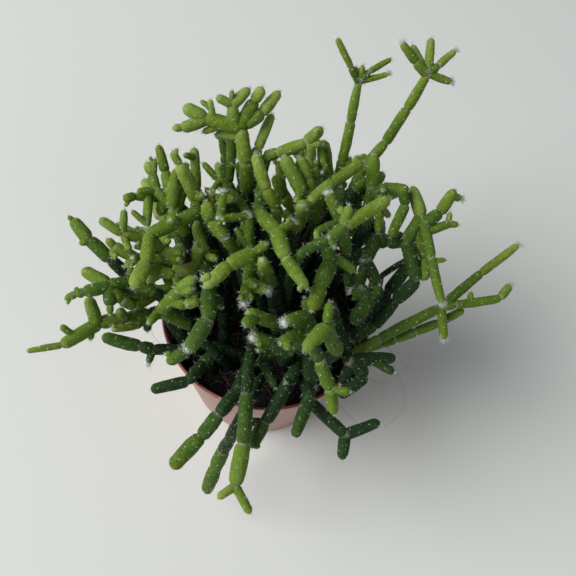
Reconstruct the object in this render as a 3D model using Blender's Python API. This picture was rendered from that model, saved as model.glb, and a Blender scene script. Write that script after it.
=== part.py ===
"""A rhipsalis in a small nursery pot: the pot, its soil and the rooted, jointed stems.

World frame: metres, +Z up, origin at the centre of the pot's underside.
Lengths below are in millimetres and become metres when a mesh is made.
"""

import math
import random

import bpy
import numpy as np

MM = 0.001

# Pot
POT_HEIGHT = 70.0
RIM_RADIUS = 42.5
BASE_RADIUS = 31.0
WALL = 1.2
FLOOR = 1.8
BAND_HEIGHT = 9.0
BAND_STEP = 0.9
BAND_CHAMFER = 0.8
BAND_INSIDE_RISE = 2.0
LIP_ROUND = 0.5
BASE_CHAMFER = 3.0
BASE_CHAMFER_IN = 1.2
BASE_RING = 5.0
CORNER_RISE = 4.0
CORNER_IN = 1.4
POT_SIDES = 32
DRAIN_COUNT = 6
DRAIN_RADIUS = 3.4
DRAIN_CIRCLE = 20.0
DRAIN_SIDES = 10
WALL_SLOPE = (RIM_RADIUS - BAND_STEP - BASE_RADIUS) / POT_HEIGHT

# Soil
SOIL_TOP = 58.0
SOIL_GAP = 0.35
SOIL_SIDES = 24
SOIL_RINGS = (27.0, 14.0)
SOIL_EDGE_DROP = 0.6
SOIL_EDGE_SLACK = 0.25
SOIL_CORNER_IN = 1.6
SOIL_CORNER_RISE = 5.0
SOIL_BUMP = 1.1
SOIL_CALM = 12.0

# Stem feet
FOOT_GIRTH = 4.0
FOOT_DEPTH = 12.0
FOOT_FIELD = 33.5
FOOT_RISE = 3.0
FOOT_WISH = 0.62
FOOT_WISH_REACH = 30.0
HOLE_GAP = 0.45
HOLE_SIDES = 5
CUT_OVER = 4.0

# Stem segments
STEM_SIDES = 5
TWIG_SIDES = 4
TWIG_GIRTH = 3.5
SHORT_SEGMENT = 16.0
SIDE_SWELL = 1.1
JOINT_YOUNG = 0.78
JOINT_OLD = 0.86
ROOT_TAPER = 0.75
TIP_TAPER = 0.4
TIP_SHOULDER = 0.9
TRUNK_PITCH = 17.3
TRUNK_LIFT = 8.0
TRUNK_LEAD = 12.0
GRIP_REACH = 4.0
SHARP_BEND = math.radians(68.0)

# Clearance
STEM_GAP = 0.75
SOIL_CLEAR = 1.0
WALL_CLEAR = 1.6
OUTER_CLEAR = 1.2
TABLE_CLEAR = 0.5
LIP_GUARD = 1.9
LIP_GUARD_IN = 0.6
LIP_GUARD_DOWN = 1.4
LIP_POINTS = 28

# How the stems are bent clear of each other
SETTLE_ROUNDS = 420
PAIR_EVERY = 20
PAIR_REACH = 8.0
PUSH_SHARE = 0.45
HOME_PULL = 0.06
HOME_FADE = 0.75
HOME_ALONG = 0.15
HOME_HIDDEN = 0.2
LENGTH_TIE = 0.12

# The line of sight that the routes of the stems are read along: a picture 576 pixels square
VIEW_MIDDLE = 288.0
VIEW_FOCAL = 720.0
VIEW_EYE = np.array([6.6, -128.0, 332.9])
VIEW_DOWN = math.radians(62.1)
VIEW_ROLL = math.radians(10.8)

# Each stem: how young it is (0 old, 1 young), then its branches. A branch starts with the
# girth at its root and at its end, and goes on with its joints: pixels across, pixels down
# and height above the table in millimetres. Later branches fork from earlier ones.
ROUTES = {
    "crown_left": (0.85, [
        (5.2, 4.9, (254, 192, 106), (249, 162, 118), (241, 129, 127), (205, 118, 130), (184, 107, 133)),
        (4.4, 3.8, (208, 119, 130), (182, 128, 128), (173, 128, 128)),
        (2.8, 2.5, (224, 125, 128), (203, 132, 125)),
        (2.5, 2.2, (214, 120, 130), (210, 100, 136)),
        (2.2, 2.0, (211, 109, 133), (201, 101, 135)),
        (4.6, 4.3, (236, 126, 128), (232, 105, 134)),
        (3.5, 3.1, (232, 105, 134), (217, 97, 137)),
        (2.1, 1.8, (232, 105, 134), (232, 91, 139)),
        (4.4, 3.9, (233, 106, 134), (249, 89, 138)),
        (5.2, 4.0, (242, 128, 128), (254, 102, 134), (262, 88, 138)),
        (5.0, 4.3, (244, 126, 129), (262, 113, 131), (279, 92, 134)),
        (4.0, 3.6, (251, 176, 112), (262, 147, 119), (273, 112, 127)),
        (4.2, 3.8, (241, 136, 124), (216, 135, 122)),
    ]),
    "crown_dark": (0.5, [
        (4.3, 4.1, (238, 208, 94), (227, 182, 104), (232, 140, 117)),
        (4.0, 3.6, (227, 180, 105), (225, 154, 112), (221, 133, 117)),
        (2.9, 2.6, (238, 205, 95), (242, 183, 106), (238, 161, 114)),
        (3.2, 2.8, (242, 184, 106), (246, 167, 112)),
        (5.0, 4.8, (238, 200, 98), (248, 185, 103)),
        (4.3, 4.1, (240, 214, 92), (228, 206, 100), (216, 196, 108)),
    ]),
    "upper_left": (0.85, [
        (5.2, 5.0, (186, 232, 104), (172, 206, 114), (173, 179, 121)),
        (4.2, 3.5, (170, 200, 116), (165, 170, 121), (158, 144, 127)),
        (3.7, 3.4, (171, 204, 115), (155, 190, 116), (152, 173, 119), (146, 162, 121)),
        (2.4, 2.1, (153, 178, 118), (155, 159, 123)),
        (3.8, 3.5, (173, 190, 118), (177, 168, 124)),
        (4.6, 4.4, (176, 208, 112), (186, 182, 120)),
    ]),
    "upper_lean": (0.85, [
        (5.1, 4.9, (208, 232, 104), (196, 199, 117), (178, 163, 127)),
        (3.2, 2.5, (178, 163, 127), (172, 151, 131)),
        (3.9, 3.5, (202, 216, 108), (197, 190, 110), (194, 149, 118)),
        (2.8, 2.5, (195, 158, 116), (184, 155, 121)),
        (4.7, 4.5, (214, 262, 96), (206, 255, 103), (197, 222, 111)),
        (4.5, 4.3, (214, 266, 94), (200, 266, 101), (196, 244, 107)),
        (4.4, 4.2, (202, 266, 100), (176, 270, 104)),
        (4.4, 4.0, (203, 214, 113), (212, 198, 118), (208, 186, 121)),
    ]),
    "upper_mid": (0.85, [
        (3.5, 4.9, (246, 266, 106), (237, 250, 115), (226, 237, 120), (211, 221, 124), (206, 202, 127)),
        (3.4, 2.6, (244, 252, 111), (248, 212, 111), (230, 191, 117), (217, 179, 120), (203, 163, 124)),
        (2.5, 2.3, (220, 186, 119), (217, 163, 125)),
        (2.3, 2.1, (218, 182, 119), (208, 195, 122)),
    ]),
    "upper_cross": (0.8, [
        (4.2, 3.8, (252, 276, 102), (250, 247, 115), (252, 214, 123)),
        (3.1, 2.7, (252, 214, 123), (222, 218, 124)),
        (3.3, 2.9, (224, 218, 124), (224, 190, 129)),
        (3.2, 2.9, (250, 248, 115), (236, 230, 121)),
        (4.5, 4.5, (251, 262, 109), (247, 302, 115)),
        (4.5, 4.3, (250, 284, 111), (272, 282, 113)),
    ]),
    "mid_diagonal": (0.95, [
        (5.1, 4.9, (270, 284, 106), (253, 252, 123), (228, 265, 125), (205, 287, 122)),
        (5.0, 4.9, (264, 275, 112), (262, 262, 128)),
    ]),
    "left_column": (0.95, [
        (4.7, 5.2, (218, 230, 104), (194, 208, 116), (150, 234, 118), (147, 262, 115), (133, 287, 110)),
        (4.6, 4.3, (150, 238, 117), (161, 251, 113), (179, 262, 109)),
        (4.7, 4.5, (146, 266, 113), (159, 271, 109), (174, 274, 105)),
    ]),
    "left_top_bar": (0.6, [
        (3.7, 3.2, (192, 220, 106), (172, 201, 113), (136, 196, 115), (124, 199, 116)),
        (3.5, 3.2, (150, 198, 114), (147, 228, 114)),
        (2.4, 2.2, (147, 226, 114), (133, 212, 116)),
        (4.2, 4.0, (166, 203, 112), (160, 214, 108)),
    ]),
    "left_fork": (0.8, [
        (4.1, 3.5, (172, 262, 96), (142, 236, 105), (119, 234, 107), (98, 218, 110)),
        (2.8, 2.4, (120, 234, 107), (124, 210, 113)),
        (2.9, 2.5, (120, 235, 107), (129, 250, 104)),
        (4.4, 4.1, (166, 256, 98), (133, 262, 101), (112, 245, 105), (105, 238, 107)),
        (3.6, 3.3, (114, 246, 105), (113, 257, 102)),
        (3.6, 3.4, (146, 240, 104), (134, 248, 103)),
        (4.2, 4.0, (158, 252, 102), (167, 234, 109)),
        (3.6, 3.4, (133, 262, 101), (122, 268, 98)),
    ]),
    "left_upper": (0.6, [
        (4.6, 5.0, (154, 290, 84), (128, 276, 91), (110, 259, 96), (88, 239, 100), (72, 219, 102)),
        (3.2, 2.8, (90, 241, 100), (79, 243, 101)),
        (2.2, 1.9, (75, 223, 101), (68, 216, 104)),
        (4.4, 4.2, (140, 284, 87), (164, 275, 94)),
    ]),
    "left_crook": (0.85, [
        (4.5, 4.7, (152, 286, 90), (129, 282, 96), (109, 286, 99), (84, 292, 101), (75, 294, 101)),
        (3.2, 2.3, (76, 294, 101), (65, 299, 100)),
        (5.0, 3.4, (110, 286, 99), (110, 305, 97), (110, 314, 96)),
        (4.9, 4.9, (146, 288, 88), (106, 286, 91), (81, 269, 94)),
        (4.4, 4.0, (112, 290, 98), (121, 300, 96), (135, 307, 92)),
    ]),
    "left_reach": (0.75, [
        (5.2, 5.0, (164, 312, 76), (150, 313, 80), (101, 323, 85), (62, 345, 86)),
        (2.7, 2.2, (62, 345, 86), (28, 351, 84)),
        (5.0, 4.6, (99, 324, 86), (88, 297, 92)),
        (2.8, 2.3, (78, 338, 87), (61, 326, 90)),
        (2.9, 2.5, (95, 329, 86), (93, 338, 86)),
        (3.1, 2.7, (158, 319, 80), (136, 327, 84), (110, 331, 87)),
    ]),
    "left_bar": (0.2, [
        (4.7, 4.5, (204, 294, 78), (170, 285, 87), (128, 288, 90)),
        (3.6, 3.3, (160, 288, 87), (136, 307, 85), (122, 294, 88)),
        (4.7, 4.4, (188, 287, 90), (183, 265, 104), (180, 244, 111)),
    ]),
    "left_rim": (0.3, [
        (3.7, 4.9, (204, 346, 68), (175, 352, 75), (150, 350, 79), (138, 345, 82), (100, 334, 86)),
        (3.3, 2.9, (149, 351, 79), (148, 365, 77)),
        (4.7, 4.4, (214, 352, 68), (206, 367, 73), (187, 384, 77), (150, 390, 77)),
    ]),
    "front_left": (0.6, [
        (4.7, 5.3, (246, 366, 68), (237, 391, 75), (219, 414, 78), (201, 437, 75), (172, 467, 70)),
    ]),
    "front_mid": (0.75, [
        (3.4, 5.6, (256, 335, 76), (250, 352, 82), (246, 394, 86), (243, 444, 84), (235, 486, 80)),
        (3.3, 2.9, (235, 486, 80), (218, 498, 79)),
        (3.3, 2.8, (235, 486, 80), (250, 513, 77)),
    ]),
    "front_low": (0.5, [
        (3.8, 5.6, (262, 374, 68), (250, 400, 75), (237, 424, 64), (223, 450, 44), (206, 492, 18)),
    ]),
    "front_right": (0.3, [
        (4.8, 4.6, (302, 366, 70), (286, 396, 76), (262, 430, 78), (246, 454, 76)),
        (3.8, 3.6, (290, 350, 72), (281, 366, 80), (281, 399, 83)),
    ]),
    "front_fork": (0.2, [
        (4.3, 4.5, (302, 370, 70), (308, 400, 76), (345, 435, 74), (379, 422, 74)),
        (4.9, 4.5, (345, 435, 74), (342, 459, 70)),
        (5.2, 4.6, (306, 376, 71), (298, 387, 85), (296, 431, 83)),
        (5.1, 4.9, (303, 372, 71), (291, 376, 78), (305, 346, 88)),
    ]),
    "low_bright": (0.95, [
        (4.0, 4.7, (182, 318, 86), (157, 311, 101), (179, 291, 114), (197, 278, 119)),
        (3.6, 3.4, (180, 290, 114), (196, 289, 116)),
        (4.1, 3.8, (168, 300, 109), (186, 304, 110), (199, 300, 112)),
    ]),
    "low_yellow": (0.95, [
        (5.2, 5.3, (202, 266, 104), (204, 288, 114), (208, 317, 117), (187, 352, 112)),
        (4.3, 4.0, (188, 350, 112), (168, 362, 108)),
    ]),
    "tufted_cross": (0.8, [
        (4.6, 4.7, (292, 338, 102), (275, 322, 113), (241, 308, 118)),
        (4.4, 4.3, (252, 313, 117), (243, 326, 118)),
    ]),
    "tufted_low": (0.7, [
        (4.9, 4.7, (294, 358, 90), (272, 342, 105), (254, 338, 109)),
        (4.7, 4.6, (290, 354, 92), (306, 328, 108), (281, 343, 111)),
        (4.6, 4.5, (306, 330, 107), (310, 315, 114), (285, 322, 118)),
    ]),
    "near_knob": (0.95, [
        (5.3, 5.2, (340, 350, 100), (326, 327, 118), (305, 351, 117)),
        (4.5, 4.2, (311, 344, 117), (320, 361, 114), (330, 389, 109), (334, 414, 104)),
    ]),
    "dark_front": (0.1, [
        (5.2, 5.2, (330, 305, 80), (335, 325, 89), (347, 360, 91), (393, 358, 89)),
        (5.6, 5.3, (346, 360, 91), (364, 374, 86), (338, 396, 82)),
        (3.4, 3.0, (368, 362, 90), (393, 372, 92)),
        (4.8, 4.6, (350, 364, 90), (341, 383, 84)),
    ]),
    "right_dark": (0.15, [
        (4.7, 4.8, (346, 340, 72), (365, 322, 79), (388, 292, 89), (414, 259, 98)),
        (2.6, 2.3, (376, 308, 84), (381, 276, 92), (408, 259, 97)),
    ]),
    "right_pendant": (0.85, [
        (4.6, 4.7, (356, 343, 78), (376, 326, 86), (396, 300, 96), (418, 280, 104), (405, 241, 111),
         (421, 216, 117), (411, 187, 122)),
        (3.6, 3.3, (422, 214, 118), (432, 258, 114), (442, 304, 109)),
        (4.6, 4.2, (424, 226, 116), (439, 213, 118), (454, 191, 121)),
        (2.8, 2.4, (450, 196, 120), (461, 199, 120)),
        (3.1, 2.5, (432, 234, 114), (449, 224, 116), (458, 225, 117)),
        (4.5, 4.3, (419, 230, 113), (425, 258, 107), (424, 280, 104)),
        (2.3, 2.1, (447, 224, 116), (450, 213, 118)),
        (2.2, 2.0, (433, 262, 113), (445, 260, 113)),
    ]),
    "right_long": (0.75, [
        (4.0, 3.3, (352, 352, 74), (378, 338, 83), (440, 308, 94), (481, 273, 99), (518, 245, 103)),
        (3.5, 3.2, (442, 307, 94), (455, 305, 95), (500, 298, 97), (510, 285, 99)),
        (2.5, 2.2, (470, 302, 96), (471, 292, 98)),
        (3.5, 3.3, (442, 308, 94), (444, 339, 89)),
        (3.9, 3.3, (362, 350, 76), (395, 339, 78), (415, 332, 82), (438, 323, 86), (463, 310, 90)),
    ]),
    "centre_arch": (0.9, [
        (4.5, 4.6, (274, 232, 108), (270, 208, 120), (260, 190, 125), (255, 153, 130)),
    ]),
    "centre_run": (0.95, [
        (4.7, 5.3, (258, 184, 110), (263, 207, 124), (276, 231, 130), (287, 259, 131)),
        (4.7, 3.8, (287, 259, 131), (308, 290, 127)),
        (3.4, 3.0, (277, 232, 130), (292, 223, 129)),
    ]),
    "back_bar": (0.85, [
        (4.3, 4.4, (258, 178, 106), (263, 156, 117), (277, 153, 122), (306, 143, 127), (322, 128, 131)),
        (3.6, 3.3, (306, 143, 127), (322, 144, 127)),
        (4.2, 4.0, (310, 143, 126), (315, 176, 115)),
    ]),
    "back_dark": (0.6, [
        (5.4, 5.3, (334, 208, 100), (329, 178, 112), (323, 141, 121)),
        (2.8, 2.5, (328, 188, 109), (318, 174, 118), (314, 148, 124)),
    ]),
    "centre_lean": (0.8, [
        (5.0, 4.9, (314, 224, 108), (302, 197, 122), (285, 159, 128)),
        (4.6, 4.4, (310, 216, 112), (309, 178, 122), (299, 158, 126)),
        (4.8, 4.6, (318, 210, 108), (320, 184, 114), (309, 156, 121)),
        (4.5, 4.3, (300, 212, 110), (283, 197, 116), (275, 176, 121)),
        (4.6, 4.4, (316, 192, 113), (313, 163, 122)),
        (4.4, 4.2, (300, 222, 106), (284, 213, 112)),
    ]),
    "centre_bar": (0.9, [
        (4.5, 4.2, (296, 228, 108), (311, 201, 124), (333, 182, 128), (362, 162, 131)),
        (5.4, 5.2, (302, 216, 116), (303, 205, 131)),
    ]),
    "centre_short": (0.95, [
        (4.6, 4.5, (341, 250, 112), (334, 220, 126), (327, 191, 131)),
        (2.8, 2.4, (333, 221, 126), (314, 231, 128), (316, 241, 127)),
    ]),
    "near_arch": (0.9, [
        (3.3, 4.2, (290, 272, 116), (300, 253, 130), (330, 238, 139), (346, 225, 143), (389, 199, 148)),
        (4.1, 4.0, (345, 226, 143), (349, 206, 147)),
    ]),
    "right_top": (0.6, [
        (4.9, 4.7, (370, 222, 106), (372, 190, 119), (374, 156, 126)),
        (4.5, 4.2, (373, 198, 117), (382, 188, 121), (408, 190, 124)),
        (3.7, 3.5, (378, 194, 119), (380, 204, 118), (378, 232, 112)),
        (4.0, 3.8, (402, 189, 123), (406, 204, 119), (391, 236, 112)),
    ]),
    "centre_long": (0.7, [
        (4.3, 5.3, (342, 224, 108), (337, 241, 119), (331, 262, 123), (312, 311, 121)),
        (3.8, 3.5, (334, 254, 122), (358, 273, 118)),
    ]),
    "right_grey": (0.15, [
        (4.7, 4.5, (380, 222, 94), (379, 238, 103), (366, 260, 107), (379, 287, 103)),
        (5.2, 3.6, (354, 322, 94), (370, 297, 104), (379, 286, 107)),
        (5.4, 5.0, (378, 240, 103), (388, 243, 104), (406, 240, 107)),
        (4.2, 4.0, (366, 262, 107), (358, 290, 99)),
        (4.2, 4.0, (372, 296, 104), (352, 291, 102)),
        (4.4, 4.2, (348, 200, 108), (378, 191, 111)),
        (4.8, 4.4, (368, 250, 104), (352, 262, 102), (347, 286, 96)),
        (4.5, 4.3, (366, 230, 95), (340, 206, 106), (354, 191, 112), (367, 179, 116)),
        (4.6, 4.4, (342, 206, 106), (339, 190, 111)),
    ]),
    "stalk_left": (0.8, [
        (3.8, 3.4, (336, 192, 106), (342, 160, 118), (351, 121, 132), (359, 81, 146)),
        (4.4, 4.2, (339, 180, 111), (350, 158, 118)),
        (2.6, 2.3, (359, 82, 146), (351, 67, 151), (337, 38, 158)),
        (2.7, 2.3, (359, 81, 146), (363, 65, 151)),
        (2.4, 2.1, (360, 80, 146), (370, 71, 149), (391, 59, 152)),
        (2.8, 2.4, (358, 81, 146), (356, 67, 150)),
        (2.3, 2.0, (360, 81, 146), (388, 74, 148)),
    ]),
    "stalk_right": (0.8, [
        (3.8, 3.5, (352, 192, 106), (365, 167, 118), (385, 143, 126), (407, 109, 139), (428, 74, 150)),
        (3.6, 3.0, (426, 74, 150), (416, 62, 153), (402, 43, 157)),
        (3.2, 2.7, (426, 72, 150), (412, 46, 154)),
        (3.4, 2.9, (428, 71, 150), (431, 39, 158)),
        (3.0, 2.6, (429, 73, 150), (438, 66, 152), (455, 51, 155)),
        (2.9, 2.5, (428, 74, 150), (451, 82, 148)),
    ]),
}

# Stems out of sight at the back and low at the sides: bearings in degrees from +X towards +Y
BACK_BEARINGS = (48, 66, 84, 102, 122, 146, 172)
BACK_TURN = 5.0
BACK_REACH = (50.0, 66.0)
BACK_HEIGHT = (84.0, 104.0)
BACK_HUB = 0.62
BACK_HUB_DROP = 6.0
BACK_BEND = 0.84
BACK_TIP_OUT = 8.0
BACK_TIP_DROP = 3.0
BACK_FORK_OUT = 8.0
BACK_DROP = (7.0, 12.0)
BACK_MAIN_GIRTHS = (4.4, 4.0)
BACK_FORK_GIRTHS = (3.9, 3.6)
BACK_DROP_GIRTHS = (3.6, 3.4)
BACK_YOUTH = 0.45
BACK_SEED = 11
UP = np.array([0.0, 0.0, 1.0])


def clear_scene():
    for item in list(bpy.data.objects):
        bpy.data.objects.remove(item, do_unlink=True)


def seen(across, down, height):
    """The point, in mm, at a height above the table on the line of sight through a pixel."""
    ahead = np.array([0.0, math.cos(VIEW_DOWN), -math.sin(VIEW_DOWN)])
    level = np.array([1.0, 0.0, 0.0])
    above = np.cross(level, ahead)
    right = level * math.cos(VIEW_ROLL) + above * math.sin(VIEW_ROLL)
    up = above * math.cos(VIEW_ROLL) - level * math.sin(VIEW_ROLL)
    sight = (ahead
             + right * (across - VIEW_MIDDLE) / VIEW_FOCAL
             + up * (VIEW_MIDDLE - down) / VIEW_FOCAL)
    return VIEW_EYE + sight * (height - VIEW_EYE[2]) / sight[2]


class Thicket:
    """All joints of all stems in one array, so that the stems can be bent clear together."""

    def __init__(self):
        self.joints = []
        self.still = []
        self.drawn = []
        self.ends = []
        self.radii = []
        self.owner = []
        self.old = []
        self.grips = []
        self.branches = []
        self.stems = []

    def joint(self, place, still=False, drawn=False):
        self.joints.append(np.array(place, dtype=float))
        self.still.append(still)
        self.drawn.append(drawn)
        return len(self.joints) - 1

    def chain(self, stem, joints, girths, old):
        """A line of segments through joints, with one girth for each segment."""
        bits = []
        for first, last, girth, aged in zip(joints, joints[1:], girths, old):
            self.ends.append((first, last))
            self.radii.append(girth / 2)
            self.owner.append(stem)
            self.old.append(aged)
            bits.append(len(self.ends) - 1)
        self.branches.append((stem, joints, bits))

    def nearest_bit(self, stem, place):
        """The segment of a stem nearest to a point, and how far along it the point lies."""
        best = None
        for bit, owner in enumerate(self.owner):
            if owner != stem:
                continue
            first, last = (self.joints[end] for end in self.ends[bit])
            run = last - first
            along = float(np.clip(np.dot(place - first, run) / np.dot(run, run), 0.0, 1.0))
            away = float(np.linalg.norm(first + run * along - place))
            if best is None or away < best[2]:
                best = (bit, along, away)
        return best

    def fork(self, stem, places, girths, drawn):
        """A branch whose root is gripped by the nearest segment of its own stem."""
        bit, along, away = self.nearest_bit(stem, places[0])
        first, last = (self.joints[end] for end in self.ends[bit])
        root = self.joint(first + (last - first) * along)
        self.grips.append((root, self.ends[bit], along))
        if away < GRIP_REACH:
            places = places[1:]
        else:
            girths = [girths[0]] + girths
        joints = [root] + [self.joint(place, drawn=drawn) for place in places]
        self.chain(stem, joints, girths, [False] * (len(joints) - 1))


def spaced_girths(first, last, count):
    if count == 1:
        return [(first + last) / 2]
    return [first + (last - first) * step / (count - 1) for step in range(count)]


def foot_spots(count):
    """Evenly spread spots on the soil, on a sunflower spiral."""
    golden = math.pi * (3.0 - math.sqrt(5.0))
    spots = []
    for step in range(count):
        reach = FOOT_FIELD * math.sqrt((step + 0.5) / count)
        spots.append(np.array([reach * math.cos(step * golden), reach * math.sin(step * golden)]))
    return spots


def share_feet(wishes):
    """Give each stem its own spot, swapping until no swap brings feet nearer to the wishes."""
    spots = foot_spots(len(wishes))
    order = list(range(len(wishes)))
    improved = True
    while improved:
        improved = False
        for one in range(len(order)):
            for two in range(one + 1, len(order)):
                kept = (np.sum((wishes[one] - spots[order[one]]) ** 2)
                        + np.sum((wishes[two] - spots[order[two]]) ** 2))
                swapped = (np.sum((wishes[one] - spots[order[two]]) ** 2)
                           + np.sum((wishes[two] - spots[order[one]]) ** 2))
                if swapped < kept - 1e-6:
                    order[one], order[two] = order[two], order[one]
                    improved = True
    return [spots[number] for number in order]


def trunk_places(foot, goal, heading):
    """Joints of an old stem from the soil to where its visible part starts."""
    rise = goal[2] - SOIL_TOP
    start = np.array([foot[0], foot[1], SOIL_TOP + FOOT_RISE])
    lift = start + UP * max(TRUNK_LIFT, 0.5 * rise)
    span = np.linalg.norm(goal - start)
    lead = goal - heading * min(TRUNK_LEAD, 0.4 * span)
    count = max(2, int(round(span / TRUNK_PITCH)))
    places = [start]
    for step in range(1, count):
        t = step / count
        places.append((1 - t) ** 3 * start + 3 * (1 - t) ** 2 * t * lift
                      + 3 * (1 - t) * t ** 2 * lead + t ** 3 * goal)
    return places


def unit(vector):
    return vector / max(np.linalg.norm(vector), 1e-9)


def back_routes():
    """Arching stems round the back, from a seeded rule, in millimetres."""
    draw = random.Random(BACK_SEED)
    routes = {}
    for number, bearing in enumerate(BACK_BEARINGS):
        angle = math.radians(bearing + draw.uniform(-BACK_TURN, BACK_TURN))
        out = np.array([math.cos(angle), math.sin(angle), 0.0])
        side = np.array([-out[1], out[0], 0.0])
        reach = draw.uniform(*BACK_REACH)
        height = draw.uniform(*BACK_HEIGHT)
        hub = out * reach * BACK_HUB + UP * (height - BACK_HUB_DROP)
        bend = out * reach * BACK_BEND + side * draw.uniform(-5, 5) + UP * height
        tip = out * (reach + BACK_TIP_OUT) + side * draw.uniform(-8, 8) + UP * (height - BACK_TIP_DROP)
        branches = [(*BACK_MAIN_GIRTHS, hub, bend, tip)]
        for turn in (-1.0, 1.0):
            fork = hub + out * BACK_FORK_OUT + side * turn * draw.uniform(8, 11)
            fork = fork + UP * draw.uniform(2, 7)
            end = fork + out * draw.uniform(8, 12) + side * turn * draw.uniform(2, 8)
            end = end + UP * draw.uniform(-8, 4)
            branches.append((*BACK_FORK_GIRTHS, hub, fork, end))
        drop = bend + out * BACK_DROP[0] + side * draw.uniform(-4, 4) - UP * BACK_DROP[1]
        branches.append((*BACK_DROP_GIRTHS, bend, drop))
        routes["back_%d" % (number + 1)] = (BACK_YOUTH, branches)
    return routes


def all_routes():
    """Every stem's branches as points in millimetres."""
    routes = {}
    for name, (youth, branches) in ROUTES.items():
        placed = [(row[0], row[1]) + tuple(seen(*spot) for spot in row[2:]) for row in branches]
        routes[name] = (youth, placed, True)
    for name, (youth, branches) in back_routes().items():
        routes[name] = (youth, branches, False)
    return routes


def plant():
    """The whole thicket before it is bent clear."""
    thicket = Thicket()
    routes = all_routes()
    wishes = []
    for youth, branches, drawn in routes.values():
        wish = FOOT_WISH * branches[0][2][:2]
        wishes.append(wish * min(1.0, FOOT_WISH_REACH / max(np.linalg.norm(wish), 1e-6)))
    feet = share_feet(wishes)
    for stem, (name, (youth, branches, drawn)) in enumerate(routes.items()):
        first, last, *places = branches[0]
        heading = unit(places[1] - places[0])
        upright = unit(heading + UP)
        trunk = trunk_places(feet[stem], places[0], upright)
        bottom = np.array([feet[stem][0], feet[stem][1], SOIL_TOP - FOOT_DEPTH])
        joints = [thicket.joint(bottom, still=True), thicket.joint(trunk[0], still=True)]
        joints += [thicket.joint(place) for place in trunk[1:]]
        joints += [thicket.joint(place, drawn=drawn) for place in places]
        below = len(trunk)
        girths = [FOOT_GIRTH] + spaced_girths(FOOT_GIRTH, first, below + 1)[1:]
        girths += spaced_girths(first, last, len(places) - 1)
        old = [True] * (below + 1) + [False] * (len(places) - 1)
        thicket.chain(stem, joints, girths[:len(joints) - 1], old)
        for row in branches[1:]:
            thicket.fork(stem, list(row[2:]), spaced_girths(row[0], row[1], len(row) - 3), drawn)
        thicket.stems.append((name, youth, feet[stem]))
    return thicket


def closest(start_a, run_a, start_b, run_b):
    """How far along each of two straight runs their nearest points lie, for many pairs."""
    between = start_a - start_b
    aa = np.sum(run_a * run_a, axis=1)
    bb = np.sum(run_b * run_b, axis=1)
    ab = np.sum(run_a * run_b, axis=1)
    aw = np.sum(run_a * between, axis=1)
    bw = np.sum(run_b * between, axis=1)
    spread = np.maximum(aa * bb - ab * ab, 1e-9)
    along_a = np.clip((ab * bw - bb * aw) / spread, 0.0, 1.0)
    along_b = np.clip((ab * along_a + bw) / bb, 0.0, 1.0)
    along_a = np.clip((ab * along_b - aw) / aa, 0.0, 1.0)
    return along_a, along_b


def lip_guard():
    """A ring of short straight runs round the pot's rim that the stems stay off."""
    spots = []
    for step in range(LIP_POINTS):
        angle = 2 * math.pi * step / LIP_POINTS
        reach = RIM_RADIUS - LIP_GUARD_IN
        spots.append([reach * math.cos(angle), reach * math.sin(angle), POT_HEIGHT - LIP_GUARD_DOWN])
    return np.array(spots)


def wall_radius(height):
    """The pot's outer radius at a height, band included, with a little to spare."""
    share = np.clip(height / POT_HEIGHT, 0.0, 1.0)
    return BASE_RADIUS + (RIM_RADIUS - BASE_RADIUS) * share + LIP_ROUND


def keep_off_pot(places, reach, free):
    """Move joints out of the soil, the wall and the table."""
    flat = np.linalg.norm(places[:, :2], axis=1)
    out = places[:, :2] / np.maximum(flat, 1e-6)[:, None]
    outside = wall_radius(places[:, 2])
    inside = flat < outside - 2.0
    lowest = SOIL_TOP + SOIL_BUMP + SOIL_CLEAR + reach
    low = free & inside & (places[:, 2] < lowest)
    places[low, 2] = lowest[low]
    below_rim = free & (places[:, 2] < POT_HEIGHT)
    outside = wall_radius(places[:, 2])
    limit = outside - WALL - WALL_CLEAR - reach
    inner = below_rim & inside & (flat > limit)
    places[inner, :2] = out[inner] * limit[inner][:, None]
    limit = outside + OUTER_CLEAR + reach
    outer = below_rim & ~inside & (flat < limit)
    places[outer, :2] = out[outer] * limit[outer][:, None]
    lowest = reach + TABLE_CLEAR
    table = free & (places[:, 2] < lowest)
    places[table, 2] = lowest[table]


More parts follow.
